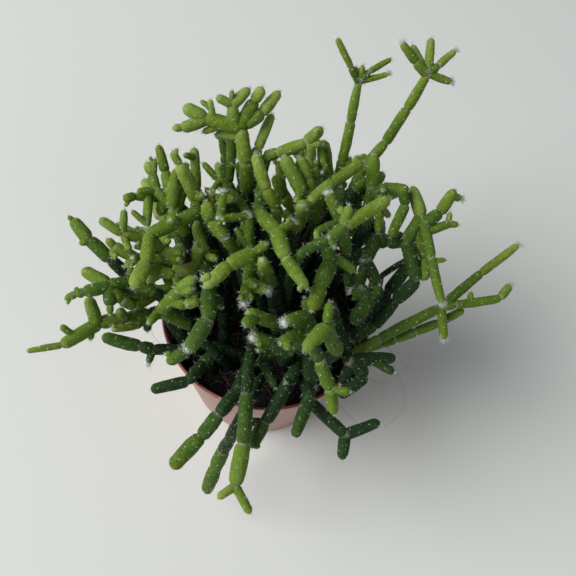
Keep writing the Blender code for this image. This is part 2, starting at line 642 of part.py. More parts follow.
def settle(thicket):
    """Bend the stems until none comes nearer to another than the gap."""
    places = np.array(thicket.joints)
    wanted = places.copy()
    count = len(places)
    free = ~np.array(thicket.still)
    drawn = np.array(thicket.drawn)
    ends = np.array(thicket.ends)
    radii = np.array(thicket.radii) * SIDE_SWELL
    owner = np.array(thicket.owner)
    lip = lip_guard()
    lip_ends = np.array([(count + step, count + (step + 1) % LIP_POINTS) for step in range(LIP_POINTS)])
    all_ends = np.vstack([ends, lip_ends])
    all_radii = np.concatenate([radii, np.full(LIP_POINTS, LIP_GUARD)])
    all_owner = np.concatenate([owner, np.full(LIP_POINTS, -1)])
    reach = np.zeros(count)
    for (first, last), radius in zip(ends, radii):
        reach[first] = max(reach[first], radius)
        reach[last] = max(reach[last], radius)
    one, two = np.triu_indices(len(all_ends), 1)
    apart = all_owner[one] != all_owner[two]
    one, two = one[apart], two[apart]
    lengths = np.linalg.norm(wanted[ends[:, 1]] - wanted[ends[:, 0]], axis=1)
    eye_lines = wanted - VIEW_EYE
    eye_lines /= np.linalg.norm(eye_lines, axis=1)[:, None]
    for step in range(SETTLE_ROUNDS):
        every = np.vstack([places, lip])
        if step % PAIR_EVERY == 0:
            start, finish = every[all_ends[:, 0]], every[all_ends[:, 1]]
            middle = (start + finish) / 2
            half = np.linalg.norm(finish - start, axis=1) / 2
            far = np.linalg.norm(middle[one] - middle[two], axis=1)
            near = far < half[one] + half[two] + all_radii[one] + all_radii[two] + PAIR_REACH
            pair_a, pair_b = one[near], two[near]
        start_a, start_b = every[all_ends[pair_a, 0]], every[all_ends[pair_b, 0]]
        run_a = every[all_ends[pair_a, 1]] - start_a
        run_b = every[all_ends[pair_b, 1]] - start_b
        along_a, along_b = closest(start_a, run_a, start_b, run_b)
        between = (start_a + run_a * along_a[:, None]) - (start_b + run_b * along_b[:, None])
        distance = np.linalg.norm(between, axis=1)
        short = all_radii[pair_a] + all_radii[pair_b] + STEM_GAP - distance
        close = short > 0
        away = between[close] / np.maximum(distance[close], 1e-6)[:, None]
        push = away * (short[close] * 0.5)[:, None]
        shift = np.zeros((count + LIP_POINTS, 3))
        for pairs, along, sign in ((pair_a, along_a, 1.0), (pair_b, along_b, -1.0)):
            share = along[close]
            scale = 1.0 / ((1 - share) ** 2 + share ** 2)
            heads = all_ends[pairs[close]]
            np.add.at(shift, heads[:, 0], sign * push * ((1 - share) * scale)[:, None])
            np.add.at(shift, heads[:, 1], sign * push * (share * scale)[:, None])
        pull = HOME_PULL * max(0.0, 1.0 - step / (HOME_FADE * SETTLE_ROUNDS))
        back = wanted - places
        aside = back - eye_lines * np.sum(back * eye_lines, axis=1)[:, None]
        home = np.where(drawn[:, None], aside + HOME_ALONG * (back - aside), HOME_HIDDEN * back)
        stretch = places[ends[:, 1]] - places[ends[:, 0]]
        now = np.linalg.norm(stretch, axis=1)
        tie = stretch * ((now - lengths) / np.maximum(now, 1e-6) * LENGTH_TIE)[:, None]
        springs = np.zeros((count, 3))
        np.add.at(springs, ends[:, 0], tie)
        np.add.at(springs, ends[:, 1], -tie)
        moved = PUSH_SHARE * shift[:count] + pull * home + springs
        moved[~free] = 0.0
        places = places + moved
        for root, (first, last), along in thicket.grips:
            places[root] = places[first] + (places[last] - places[first]) * along
        keep_off_pot(places, reach, free)
    thicket.joints = list(places)
    return float(np.max(short[close])) if np.any(close) else 0.0


def tube_rings(points, radii, old):
    """Rings of one line of segments: place, direction and radius, pinched at each joint."""
    rings = []
    last = len(points) - 1
    for number, (start, end) in enumerate(zip(points, points[1:])):
        run = end - start
        length = np.linalg.norm(run)
        ahead = run / length
        radius = radii[number] * SIDE_SWELL
        shoulder = min(0.3 * length, 1.1 * radius)
        pinch = JOINT_OLD if old[number] else JOINT_YOUNG
        if number == 0:
            rings.append((start, ahead, radius * (1.0 if old[0] else ROOT_TAPER)))
        else:
            turn = unit(ahead + unit(start - points[number - 1]))
            rings.append((start, turn, pinch * min(radius, radii[number - 1] * SIDE_SWELL)))
        if not old[number] and length < SHORT_SEGMENT:
            rings.append((start + run * 0.5, ahead, radius))
        elif not old[number]:
            rings.append((start + ahead * shoulder, ahead, radius))
            rings.append((end - ahead * shoulder, ahead, radius * 0.98))
        if number == last - 1:
            setback = min(0.75 * radius, 0.4 * length)
            if not old[number]:
                rings.pop()
            rings.append((end - ahead * setback, ahead, radius * TIP_SHOULDER))
            rings.append((end, ahead, radius * TIP_TAPER))
    return rings


def tube_mesh(name, rings, sides):
    """A closed tube through rings, its frame carried along without twisting."""
    verts = []
    faces = []
    hint = np.array([1.0, 0.0, 0.0])
    if abs(np.dot(hint, rings[0][1])) > 0.9:
        hint = np.array([0.0, 1.0, 0.0])
    for place, ahead, radius in rings:
        side = unit(hint - ahead * np.dot(hint, ahead))
        lift = np.cross(ahead, side)
        hint = side
        for corner in range(sides):
            angle = 2 * math.pi * corner / sides
            spot = place + radius * (side * math.cos(angle) + lift * math.sin(angle))
            verts.append(tuple(spot * MM))
    for row in range(len(rings) - 1):
        for corner in range(sides):
            a = row * sides + corner
            b = row * sides + (corner + 1) % sides
            faces.append((a, b, b + sides))
            faces.append((a, b + sides, a + sides))
    top = (len(rings) - 1) * sides
    for corner in range(1, sides - 1):
        faces.append((0, corner + 1, corner))
        faces.append((top, top + corner, top + corner + 1))
    mesh = bpy.data.meshes.new(name)
    mesh.from_pydata(verts, [], faces)
    mesh.validate()
    return mesh


def new_object(name, mesh):
    item = bpy.data.objects.new(name, mesh)
    bpy.context.scene.collection.objects.link(item)
    return item


def branch_pieces(thicket, stem):
    """Each branch of a stem as runs of joints with no sharp bend inside a run."""
    runs = []
    for owner, joints, bits in thicket.branches:
        if owner != stem:
            continue
        points = [thicket.joints[joint] for joint in joints]
        radii = [thicket.radii[bit] for bit in bits]
        old = [thicket.old[bit] for bit in bits]
        begin = 0
        for middle in range(1, len(points) - 1):
            before = unit(points[middle] - points[middle - 1])
            after = unit(points[middle + 1] - points[middle])
            if math.acos(float(np.clip(np.dot(before, after), -1.0, 1.0))) > SHARP_BEND:
                runs.append((points[begin:middle + 1], radii[begin:middle], old[begin:middle]))
                begin = middle
        runs.append((points[begin:], radii[begin:], old[begin:]))
    return runs


def apply_modifiers(item):
    """Replace an object's mesh by its evaluated one."""
    graph = bpy.context.evaluated_depsgraph_get()
    mesh = bpy.data.meshes.new_from_object(item.evaluated_get(graph))
    item.modifiers.clear()
    item.data = mesh


def union_of(name, meshes):
    """One closed body from meshes that overlap."""
    item = new_object(name, meshes[0])
    if len(meshes) == 1:
        return item
    helpers = bpy.data.collections.new(name + "_parts")
    bpy.context.scene.collection.children.link(helpers)
    for number, mesh in enumerate(meshes[1:]):
        helpers.objects.link(bpy.data.objects.new("%s_part_%d" % (name, number), mesh))
    union = item.modifiers.new("Branches", "BOOLEAN")
    union.operation = "UNION"
    union.operand_type = "COLLECTION"
    union.collection = helpers
    union.solver = "MANIFOLD"
    apply_modifiers(item)
    for helper in list(helpers.objects):
        bpy.data.objects.remove(helper, do_unlink=True)
    bpy.data.collections.remove(helpers)
    return item


def material(name, colour, roughness):
    """A plain principled material."""
    made = bpy.data.materials.new(name)
    made.use_nodes = True
    shader = made.node_tree.nodes["Principled BSDF"]
    shader.inputs["Base Color"].default_value = (*colour, 1.0)
    shader.inputs["Roughness"].default_value = roughness
    shader.inputs["Metallic"].default_value = 0.0
    made.diffuse_color = (*colour, 1.0)
    return made


def make_stems(thicket):
    old = material("Old stem", (0.035, 0.075, 0.05), 0.55)
    middle = material("Grown stem", (0.09, 0.17, 0.05), 0.5)
    young = material("Young stem", (0.2, 0.3, 0.06), 0.45)
    for stem, (name, youth, foot) in enumerate(thicket.stems):
        meshes = []
        for points, radii, aged in branch_pieces(thicket, stem):
            rings = tube_rings(points, radii, aged)
            sides = TWIG_SIDES if 2 * max(radii) < TWIG_GIRTH else STEM_SIDES
            meshes.append(tube_mesh("stem_%s_%d" % (name, len(meshes)), rings, sides))
        item = union_of("stem_" + name, meshes)
        item.data.materials.clear()
        item.data.materials.append(young if youth > 0.72 else middle if youth > 0.35 else old)


def wall_at(height):
    """The radius of the pot's outer wall under its band at a height, in mm."""
    return BASE_RADIUS + WALL_SLOPE * height


def pot_profile():
    """The pot's section as radius and height, down the outside and up the inside."""
    under_band = POT_HEIGHT - BAND_HEIGHT
    return [
        (RIM_RADIUS - LIP_ROUND, POT_HEIGHT),
        (RIM_RADIUS, POT_HEIGHT - LIP_ROUND),
        (wall_at(under_band) + BAND_STEP, under_band + BAND_CHAMFER),
        (wall_at(under_band), under_band),
        (wall_at(BASE_CHAMFER), BASE_CHAMFER),
        (BASE_RADIUS - BASE_CHAMFER_IN, 0.0),
        (BASE_RADIUS - BASE_RING, 0.0),
        (0.0, 0.0),
        (0.0, FLOOR),
        (BASE_RADIUS - WALL - CORNER_IN, FLOOR),
        (wall_at(CORNER_RISE) - WALL, CORNER_RISE),
        (wall_at(under_band) - WALL, under_band),
        (wall_at(under_band) + BAND_STEP - WALL, under_band + BAND_INSIDE_RISE),
        (RIM_RADIUS - WALL - LIP_ROUND, POT_HEIGHT),
    ]


def circle(radius, height, sides):
    """The corners of a level regular polygon, in metres."""
    corners = []
    for corner in range(sides):
        angle = 2 * math.pi * corner / sides
        corners.append((radius * math.cos(angle) * MM, radius * math.sin(angle) * MM, height * MM))
    return corners


def turned(name, profile, sides):
    """A closed body turned round the Z axis from a closed section that touches the axis."""
    verts = []
    rows = []
    for radius, height in profile:
        if radius == 0.0:
            rows.append([len(verts)] * sides)
            verts.append((0.0, 0.0, height * MM))
            continue
        rows.append([len(verts) + corner for corner in range(sides)])
        verts += circle(radius, height, sides)
    faces = []
    for upper, lower in zip(rows, rows[1:] + rows[:1]):
        for corner in range(sides):
            after = (corner + 1) % sides
            loop = [upper[corner], lower[corner], lower[after], upper[after]]
            face = [vert for spot, vert in enumerate(loop) if vert not in loop[:spot]]
            if len(face) > 2:
                faces.append(tuple(face))
    mesh = bpy.data.meshes.new(name)
    mesh.from_pydata(verts, [], faces)
    mesh.validate()
    return mesh


def drill(item, places, radius, low, high, sides):
    """Cut upright round holes at places (x, y) between two heights, all in mm."""
    verts = []
    faces = []
    for x, y in places:
        base = len(verts)
        for height in (low, high):
            for spot in circle(radius, height, sides):
                verts.append((spot[0] + x * MM, spot[1] + y * MM, spot[2]))
        for corner in range(sides):
            after = (corner + 1) % sides
            faces.append((base + corner, base + after, base + sides + after, base + sides + corner))
        faces.append(tuple(base + corner for corner in reversed(range(sides))))
        faces.append(tuple(base + sides + corner for corner in range(sides)))
    mesh = bpy.data.meshes.new(item.name + "_holes")
    mesh.from_pydata(verts, [], faces)
    cutter = new_object(item.name + "_holes", mesh)
    cut = item.modifiers.new("Holes", "BOOLEAN")
    cut.operation = "DIFFERENCE"
    cut.object = cutter
    cut.solver = "MANIFOLD"
    apply_modifiers(item)
    bpy.data.objects.remove(cutter, do_unlink=True)


def make_pot():
    item = new_object("pot", turned("pot", pot_profile(), POT_SIDES))
    places = []
    for step in range(DRAIN_COUNT):
        angle = 2 * math.pi * (step + 0.5) / DRAIN_COUNT
        places.append((DRAIN_CIRCLE * math.cos(angle), DRAIN_CIRCLE * math.sin(angle)))
    drill(item, places, DRAIN_RADIUS, -1.0, FLOOR + 0.2, DRAIN_SIDES)
    item.data.materials.clear()
    item.data.materials.append(material("Pot plastic", (0.42, 0.23, 0.2), 0.5))
    item.data.set_sharp_from_angle(angle=math.radians(35))


def soil_height(reach, angle):
    """The soil's uneven top, in mm, from its radius and angle."""
    wave = math.sin(3 * angle + 0.7) * 0.5 + math.sin(5 * angle + reach * 0.2) * 0.35
    return SOIL_TOP + SOIL_BUMP * wave * min(1.0, reach / SOIL_CALM)


def make_soil(thicket):
    """The plug of soil: its sides follow the pot's inside, and a hole takes each stem."""
    slack = WALL + SOIL_GAP + SOIL_EDGE_SLACK
    underside = FLOOR + SOIL_GAP
    outline = [
        (wall_at(0.0) - slack - SOIL_CORNER_IN, underside),
        (wall_at(SOIL_CORNER_RISE) - slack, SOIL_CORNER_RISE),
        (wall_at(SOIL_TOP) - slack, SOIL_TOP - SOIL_EDGE_DROP),
    ]
    verts = []
    rows = []
    for radius, height in outline:
        rows.append([len(verts) + corner for corner in range(SOIL_SIDES)])
        verts += circle(radius, height, SOIL_SIDES)
    for radius in SOIL_RINGS:
        rows.append([len(verts) + corner for corner in range(SOIL_SIDES)])
        for corner in range(SOIL_SIDES):
            angle = 2 * math.pi * corner / SOIL_SIDES
            height = soil_height(radius, angle)
            verts.append((radius * math.cos(angle) * MM, radius * math.sin(angle) * MM, height * MM))
    bottom = len(verts)
    verts.append((0.0, 0.0, underside * MM))
    top = len(verts)
    verts.append((0.0, 0.0, SOIL_TOP * MM))
    faces = []
    for lower, upper in zip(rows, rows[1:]):
        for corner in range(SOIL_SIDES):
            after = (corner + 1) % SOIL_SIDES
            faces.append((lower[corner], lower[after], upper[after]))
            faces.append((lower[corner], upper[after], upper[corner]))
    for corner in range(SOIL_SIDES):
        after = (corner + 1) % SOIL_SIDES
        faces.append((bottom, rows[0][after], rows[0][corner]))
        faces.append((top, rows[-1][corner], rows[-1][after]))
    mesh = bpy.data.meshes.new("soil")
    mesh.from_pydata(verts, [], faces)
    item = new_object("soil", mesh)
    radius = (FOOT_GIRTH / 2 * SIDE_SWELL + HOLE_GAP) / math.cos(math.pi / HOLE_SIDES)
    feet = [tuple(foot) for name, youth, foot in thicket.stems]
    drill(item, feet, radius, SOIL_TOP - FOOT_DEPTH - HOLE_GAP, SOIL_TOP + CUT_OVER, HOLE_SIDES)
    item.data.materials.clear()
    item.data.materials.append(material("Peat soil", (0.035, 0.024, 0.018), 0.95))


def main():
    clear_scene()
    thicket = plant()
    settle(thicket)
    make_pot()
    make_soil(thicket)
    make_stems(thicket)


main()
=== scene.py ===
"""The look of a rhipsalis in a small nursery pot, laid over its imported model.

World frame: metres, +Z up, origin at the centre of the pot's underside. Lengths below are in
millimetres. The stems' routes and the way they are bent clear of each other repeat the rules
that the solids were made by, so each finer stem lies on its solid.
"""

import math
import random

import bpy
import numpy as np
from mathutils import Matrix, Vector, noise


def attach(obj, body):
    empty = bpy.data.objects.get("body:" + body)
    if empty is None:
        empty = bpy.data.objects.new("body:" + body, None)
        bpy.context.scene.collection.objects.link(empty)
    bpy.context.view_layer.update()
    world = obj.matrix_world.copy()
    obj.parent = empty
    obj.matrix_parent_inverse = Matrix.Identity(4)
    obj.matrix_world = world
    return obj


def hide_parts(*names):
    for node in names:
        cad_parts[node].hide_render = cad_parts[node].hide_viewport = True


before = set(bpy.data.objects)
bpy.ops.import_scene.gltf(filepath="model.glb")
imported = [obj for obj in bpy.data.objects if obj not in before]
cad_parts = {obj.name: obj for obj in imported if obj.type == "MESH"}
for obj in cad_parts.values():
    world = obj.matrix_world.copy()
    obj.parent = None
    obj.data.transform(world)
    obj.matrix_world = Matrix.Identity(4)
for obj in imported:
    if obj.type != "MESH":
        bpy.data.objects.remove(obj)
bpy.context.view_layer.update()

MM = 0.001
UP = np.array([0.0, 0.0, 1.0])
TINY = 1e-6

# Pot
POT_HEIGHT = 70.0
RIM_RADIUS = 42.5
BASE_RADIUS = 31.0
WALL = 1.2
FLOOR = 1.8
BAND_HEIGHT = 9.0
BAND_STEP = 0.9
BAND_CHAMFER = 0.8
BAND_INSIDE_RISE = 2.0
LIP_ROUND = 0.5
BASE_CHAMFER = 3.0
BASE_CHAMFER_IN = 1.2
BASE_RING = 5.0
BASE_HOLLOW = 0.35
CORNER_RISE = 4.0
CORNER_IN = 1.4
POT_FINE_SIDES = 128
LIP_STEPS = 8
DEEP_LIP_BAND = (1.6, 0.2)
# How far in, in mm, the painted shade inside the pot's wall takes to fade in
INNER_SHADE_FADE = 0.4
SHARP_FROM = math.radians(32)
DRAIN_COUNT = 6
DRAIN_SIDES = 24
DRAIN_RADIUS = 3.4
DRAIN_CIRCLE = 20.0
DRAIN_PAST = 1.0
WALL_SLOPE = (RIM_RADIUS - BAND_STEP - BASE_RADIUS) / POT_HEIGHT

# Soil
SOIL_TOP = 58.0
SOIL_GAP = 0.35
SOIL_EDGE_SLACK = 0.25
SOIL_CORNER_IN = 1.6
SOIL_CORNER_RISE = 5.0
SOIL_BUMP = 1.1
SOIL_CALM = 12.0
SOIL_FINE_SIDES = 96
SOIL_FINE_RINGS = 34
SOIL_ROUGH = 1.3
SOIL_EDGE_DOWN = 1.4
SOIL_EDGE_IN = 0.2

# Long waves of the soil's top: waves round, turn, twist for each mm outwards and height
SOIL_WAVES = ((3, 0.7, 0.0, 0.5), (5, 0.0, 0.2, 0.35))

# Short waves: how close they lie, then the fractal's smoothness, step and octaves
SOIL_GRAIN = 0.35
SOIL_FRACTAL = (0.9, 2.1, 4)

# Crumbs and fibres on the soil
CRUMB_COUNT = 620
CRUMB_SIDES = 6
CRUMB_SIZE = (0.5, 1.5)
CRUMB_LAYERS = (-0.75, 0.0, 0.75)
CRUMB_GIRTHS = (0.75, 1.2)
CRUMB_LOW = 0.8
CRUMB_POLE = 0.9
CRUMB_LIFT = 0.2
CRUMB_EDGE = 1.6
FIBRE_COUNT = 230
FIBRE_GIRTH = 0.22
FIBRE_STEP = 3.2
FIBRE_THINNING = 0.6
FIBRE_RISE = (0.2, 2.6)
FIBRE_SUNK = 2.0
FIBRE_TURN = 0.8
FIBRE_POINTS = (4, 8)
FIBRE_GIRTHS = (0.6, 1.2)
FIBRE_EDGE = 1.2
SOIL_SEED = 21

# Stem feet
FOOT_GIRTH = 4.0
FOOT_DEPTH = 12.0
FOOT_FIELD = 33.5
FOOT_RISE = 3.0
FOOT_WISH = 0.62
FOOT_WISH_REACH = 30.0

# Trunks
TRUNK_PITCH = 17.3
TRUNK_LIFT = 8.0
TRUNK_LEAD = 12.0
GRIP_REACH = 4.0

# Clearance
SIDE_SWELL = 1.1
STEM_GAP = 0.75
SOIL_CLEAR = 1.0
WALL_CLEAR = 1.6
OUTER_CLEAR = 1.2
TABLE_CLEAR = 0.5
LIP_GUARD = 1.9
LIP_GUARD_IN = 0.6
LIP_GUARD_DOWN = 1.4
LIP_POINTS = 28

# How the stems are bent clear of each other
SETTLE_ROUNDS = 420
PAIR_EVERY = 20
PAIR_REACH = 8.0
PUSH_SHARE = 0.45
HOME_PULL = 0.06
HOME_FADE = 0.75
HOME_ALONG = 0.15
HOME_HIDDEN = 0.2
LENGTH_TIE = 0.12

# The camera that the stems' routes are read through, for a picture 576 pixels square
VIEW_MIDDLE = 288.0
VIEW_FOCAL = 720.0
VIEW_EYE = np.array([6.6, -128.0, 332.9])
VIEW_DOWN = math.radians(62.1)
VIEW_ROLL = math.radians(10.8)

# Each stem: how young it is (0 old, 1 young), then its branches. A branch starts with the
# girth at its root and at its end, and goes on with its joints: pixels across, pixels down
# and height above the table in millimetres. Later branches fork from earlier ones.
ROUTES = {
    "crown_left": (0.85, [
        (5.2, 4.9, (254, 192, 106), (249, 162, 118), (241, 129, 127), (205, 118, 130), (184, 107, 133)),
        (4.4, 3.8, (208, 119, 130), (182, 128, 128), (173, 128, 128)),
        (2.8, 2.5, (224, 125, 128), (203, 132, 125)),
        (2.5, 2.2, (214, 120, 130), (210, 100, 136)),
        (2.2, 2.0, (211, 109, 133), (201, 101, 135)),
        (4.6, 4.3, (236, 126, 128), (232, 105, 134)),
        (3.5, 3.1, (232, 105, 134), (217, 97, 137)),
        (2.1, 1.8, (232, 105, 134), (232, 91, 139)),
        (4.4, 3.9, (233, 106, 134), (249, 89, 138)),
        (5.2, 4.0, (242, 128, 128), (254, 102, 134), (262, 88, 138)),
        (5.0, 4.3, (244, 126, 129), (262, 113, 131), (279, 92, 134)),
        (4.0, 3.6, (251, 176, 112), (262, 147, 119), (273, 112, 127)),
        (4.2, 3.8, (241, 136, 124), (216, 135, 122)),
    ]),
    "crown_dark": (0.5, [
        (4.3, 4.1, (238, 208, 94), (227, 182, 104), (232, 140, 117)),
        (4.0, 3.6, (227, 180, 105), (225, 154, 112), (221, 133, 117)),
        (2.9, 2.6, (238, 205, 95), (242, 183, 106), (238, 161, 114)),
        (3.2, 2.8, (242, 184, 106), (246, 167, 112)),
        (5.0, 4.8, (238, 200, 98), (248, 185, 103)),
        (4.3, 4.1, (240, 214, 92), (228, 206, 100), (216, 196, 108)),
    ]),
    "upper_left": (0.85, [
        (5.2, 5.0, (186, 232, 104), (172, 206, 114), (173, 179, 121)),
        (4.2, 3.5, (170, 200, 116), (165, 170, 121), (158, 144, 127)),
        (3.7, 3.4, (171, 204, 115), (155, 190, 116), (152, 173, 119), (146, 162, 121)),
        (2.4, 2.1, (153, 178, 118), (155, 159, 123)),
        (3.8, 3.5, (173, 190, 118), (177, 168, 124)),
        (4.6, 4.4, (176, 208, 112), (186, 182, 120)),
    ]),
    "upper_lean": (0.85, [
        (5.1, 4.9, (208, 232, 104), (196, 199, 117), (178, 163, 127)),
        (3.2, 2.5, (178, 163, 127), (172, 151, 131)),
        (3.9, 3.5, (202, 216, 108), (197, 190, 110), (194, 149, 118)),
        (2.8, 2.5, (195, 158, 116), (184, 155, 121)),
        (4.7, 4.5, (214, 262, 96), (206, 255, 103), (197, 222, 111)),
        (4.5, 4.3, (214, 266, 94), (200, 266, 101), (196, 244, 107)),
        (4.4, 4.2, (202, 266, 100), (176, 270, 104)),
        (4.4, 4.0, (203, 214, 113), (212, 198, 118), (208, 186, 121)),
    ]),
    "upper_mid": (0.85, [
        (3.5, 4.9, (246, 266, 106), (237, 250, 115), (226, 237, 120), (211, 221, 124), (206, 202, 127)),
        (3.4, 2.6, (244, 252, 111), (248, 212, 111), (230, 191, 117), (217, 179, 120), (203, 163, 124)),
        (2.5, 2.3, (220, 186, 119), (217, 163, 125)),
        (2.3, 2.1, (218, 182, 119), (208, 195, 122)),
    ]),
    "upper_cross": (0.8, [
        (4.2, 3.8, (252, 276, 102), (250, 247, 115), (252, 214, 123)),
        (3.1, 2.7, (252, 214, 123), (222, 218, 124)),
        (3.3, 2.9, (224, 218, 124), (224, 190, 129)),
        (3.2, 2.9, (250, 248, 115), (236, 230, 121)),
        (4.5, 4.5, (251, 262, 109), (247, 302, 115)),
        (4.5, 4.3, (250, 284, 111), (272, 282, 113)),
    ]),
    "mid_diagonal": (0.95, [
        (5.1, 4.9, (270, 284, 106), (253, 252, 123), (228, 265, 125), (205, 287, 122)),
        (5.0, 4.9, (264, 275, 112), (262, 262, 128)),
    ]),
    "left_column": (0.95, [
        (4.7, 5.2, (218, 230, 104), (194, 208, 116), (150, 234, 118), (147, 262, 115), (133, 287, 110)),
        (4.6, 4.3, (150, 238, 117), (161, 251, 113), (179, 262, 109)),
        (4.7, 4.5, (146, 266, 113), (159, 271, 109), (174, 274, 105)),
    ]),
    "left_top_bar": (0.6, [
        (3.7, 3.2, (192, 220, 106), (172, 201, 113), (136, 196, 115), (124, 199, 116)),
        (3.5, 3.2, (150, 198, 114), (147, 228, 114)),
        (2.4, 2.2, (147, 226, 114), (133, 212, 116)),
        (4.2, 4.0, (166, 203, 112), (160, 214, 108)),
    ]),
    "left_fork": (0.8, [
        (4.1, 3.5, (172, 262, 96), (142, 236, 105), (119, 234, 107), (98, 218, 110)),
        (2.8, 2.4, (120, 234, 107), (124, 210, 113)),
        (2.9, 2.5, (120, 235, 107), (129, 250, 104)),
        (4.4, 4.1, (166, 256, 98), (133, 262, 101), (112, 245, 105), (105, 238, 107)),
        (3.6, 3.3, (114, 246, 105), (113, 257, 102)),
        (3.6, 3.4, (146, 240, 104), (134, 248, 103)),
        (4.2, 4.0, (158, 252, 102), (167, 234, 109)),
        (3.6, 3.4, (133, 262, 101), (122, 268, 98)),
    ]),
    "left_upper": (0.6, [
        (4.6, 5.0, (154, 290, 84), (128, 276, 91), (110, 259, 96), (88, 239, 100), (72, 219, 102)),
        (3.2, 2.8, (90, 241, 100), (79, 243, 101)),
        (2.2, 1.9, (75, 223, 101), (68, 216, 104)),
        (4.4, 4.2, (140, 284, 87), (164, 275, 94)),
    ]),
    "left_crook": (0.85, [
        (4.5, 4.7, (152, 286, 90), (129, 282, 96), (109, 286, 99), (84, 292, 101), (75, 294, 101)),
        (3.2, 2.3, (76, 294, 101), (65, 299, 100)),
        (5.0, 3.4, (110, 286, 99), (110, 305, 97), (110, 314, 96)),
        (4.9, 4.9, (146, 288, 88), (106, 286, 91), (81, 269, 94)),
        (4.4, 4.0, (112, 290, 98), (121, 300, 96), (135, 307, 92)),
    ]),
    "left_reach": (0.75, [
        (5.2, 5.0, (164, 312, 76), (150, 313, 80), (101, 323, 85), (62, 345, 86)),
        (2.7, 2.2, (62, 345, 86), (28, 351, 84)),
        (5.0, 4.6, (99, 324, 86), (88, 297, 92)),
        (2.8, 2.3, (78, 338, 87), (61, 326, 90)),
        (2.9, 2.5, (95, 329, 86), (93, 338, 86)),
        (3.1, 2.7, (158, 319, 80), (136, 327, 84), (110, 331, 87)),
    ]),
    "left_bar": (0.2, [
        (4.7, 4.5, (204, 294, 78), (170, 285, 87), (128, 288, 90)),
        (3.6, 3.3, (160, 288, 87), (136, 307, 85), (122, 294, 88)),
        (4.7, 4.4, (188, 287, 90), (183, 265, 104), (180, 244, 111)),
    ]),
    "left_rim": (0.3, [
        (3.7, 4.9, (204, 346, 68), (175, 352, 75), (150, 350, 79), (138, 345, 82), (100, 334, 86)),
        (3.3, 2.9, (149, 351, 79), (148, 365, 77)),
        (4.7, 4.4, (214, 352, 68), (206, 367, 73), (187, 384, 77), (150, 390, 77)),
    ]),
    "front_left": (0.6, [
        (4.7, 5.3, (246, 366, 68), (237, 391, 75), (219, 414, 78), (201, 437, 75), (172, 467, 70)),
    ]),
    "front_mid": (0.75, [
        (3.4, 5.6, (256, 335, 76), (250, 352, 82), (246, 394, 86), (243, 444, 84), (235, 486, 80)),
        (3.3, 2.9, (235, 486, 80), (218, 498, 79)),
        (3.3, 2.8, (235, 486, 80), (250, 513, 77)),
    ]),
    "front_low": (0.5, [
        (3.8, 5.6, (262, 374, 68), (250, 400, 75), (237, 424, 64), (223, 450, 44), (206, 492, 18)),
    ]),
    "front_right": (0.3, [
        (4.8, 4.6, (302, 366, 70), (286, 396, 76), (262, 430, 78), (246, 454, 76)),
        (3.8, 3.6, (290, 350, 72), (281, 366, 80), (281, 399, 83)),
    ]),
    "front_fork": (0.2, [
        (4.3, 4.5, (302, 370, 70), (308, 400, 76), (345, 435, 74), (379, 422, 74)),
        (4.9, 4.5, (345, 435, 74), (342, 459, 70)),
        (5.2, 4.6, (306, 376, 71), (298, 387, 85), (296, 431, 83)),
        (5.1, 4.9, (303, 372, 71), (291, 376, 78), (305, 346, 88)),
    ]),
    "low_bright": (0.95, [
        (4.0, 4.7, (182, 318, 86), (157, 311, 101), (179, 291, 114), (197, 278, 119)),
        (3.6, 3.4, (180, 290, 114), (196, 289, 116)),
        (4.1, 3.8, (168, 300, 109), (186, 304, 110), (199, 300, 112)),
    ]),
    "low_yellow": (0.95, [
        (5.2, 5.3, (202, 266, 104), (204, 288, 114), (208, 317, 117), (187, 352, 112)),
        (4.3, 4.0, (188, 350, 112), (168, 362, 108)),
    ]),
    "tufted_cross": (0.8, [
        (4.6, 4.7, (292, 338, 102), (275, 322, 113), (241, 308, 118)),
        (4.4, 4.3, (252, 313, 117), (243, 326, 118)),
    ]),
    "tufted_low": (0.7, [
        (4.9, 4.7, (294, 358, 90), (272, 342, 105), (254, 338, 109)),
        (4.7, 4.6, (290, 354, 92), (306, 328, 108), (281, 343, 111)),
        (4.6, 4.5, (306, 330, 107), (310, 315, 114), (285, 322, 118)),
    ]),
    "near_knob": (0.95, [
        (5.3, 5.2, (340, 350, 100), (326, 327, 118), (305, 351, 117)),
        (4.5, 4.2, (311, 344, 117), (320, 361, 114), (330, 389, 109), (334, 414, 104)),
    ]),
    "dark_front": (0.1, [
        (5.2, 5.2, (330, 305, 80), (335, 325, 89), (347, 360, 91), (393, 358, 89)),
        (5.6, 5.3, (346, 360, 91), (364, 374, 86), (338, 396, 82)),
        (3.4, 3.0, (368, 362, 90), (393, 372, 92)),
        (4.8, 4.6, (350, 364, 90), (341, 383, 84)),
    ]),
    "right_dark": (0.15, [
        (4.7, 4.8, (346, 340, 72), (365, 322, 79), (388, 292, 89), (414, 259, 98)),
        (2.6, 2.3, (376, 308, 84), (381, 276, 92), (408, 259, 97)),
    ]),
    "right_pendant": (0.85, [
        (4.6, 4.7, (356, 343, 78), (376, 326, 86), (396, 300, 96), (418, 280, 104), (405, 241, 111),
         (421, 216, 117), (411, 187, 122)),
        (3.6, 3.3, (422, 214, 118), (432, 258, 114), (442, 304, 109)),
        (4.6, 4.2, (424, 226, 116), (439, 213, 118), (454, 191, 121)),
        (2.8, 2.4, (450, 196, 120), (461, 199, 120)),
        (3.1, 2.5, (432, 234, 114), (449, 224, 116), (458, 225, 117)),
        (4.5, 4.3, (419, 230, 113), (425, 258, 107), (424, 280, 104)),
        (2.3, 2.1, (447, 224, 116), (450, 213, 118)),
        (2.2, 2.0, (433, 262, 113), (445, 260, 113)),
    ]),
    "right_long": (0.75, [
        (4.0, 3.3, (352, 352, 74), (378, 338, 83), (440, 308, 94), (481, 273, 99), (518, 245, 103)),
        (3.5, 3.2, (442, 307, 94), (455, 305, 95), (500, 298, 97), (510, 285, 99)),
        (2.5, 2.2, (470, 302, 96), (471, 292, 98)),
        (3.5, 3.3, (442, 308, 94), (444, 339, 89)),
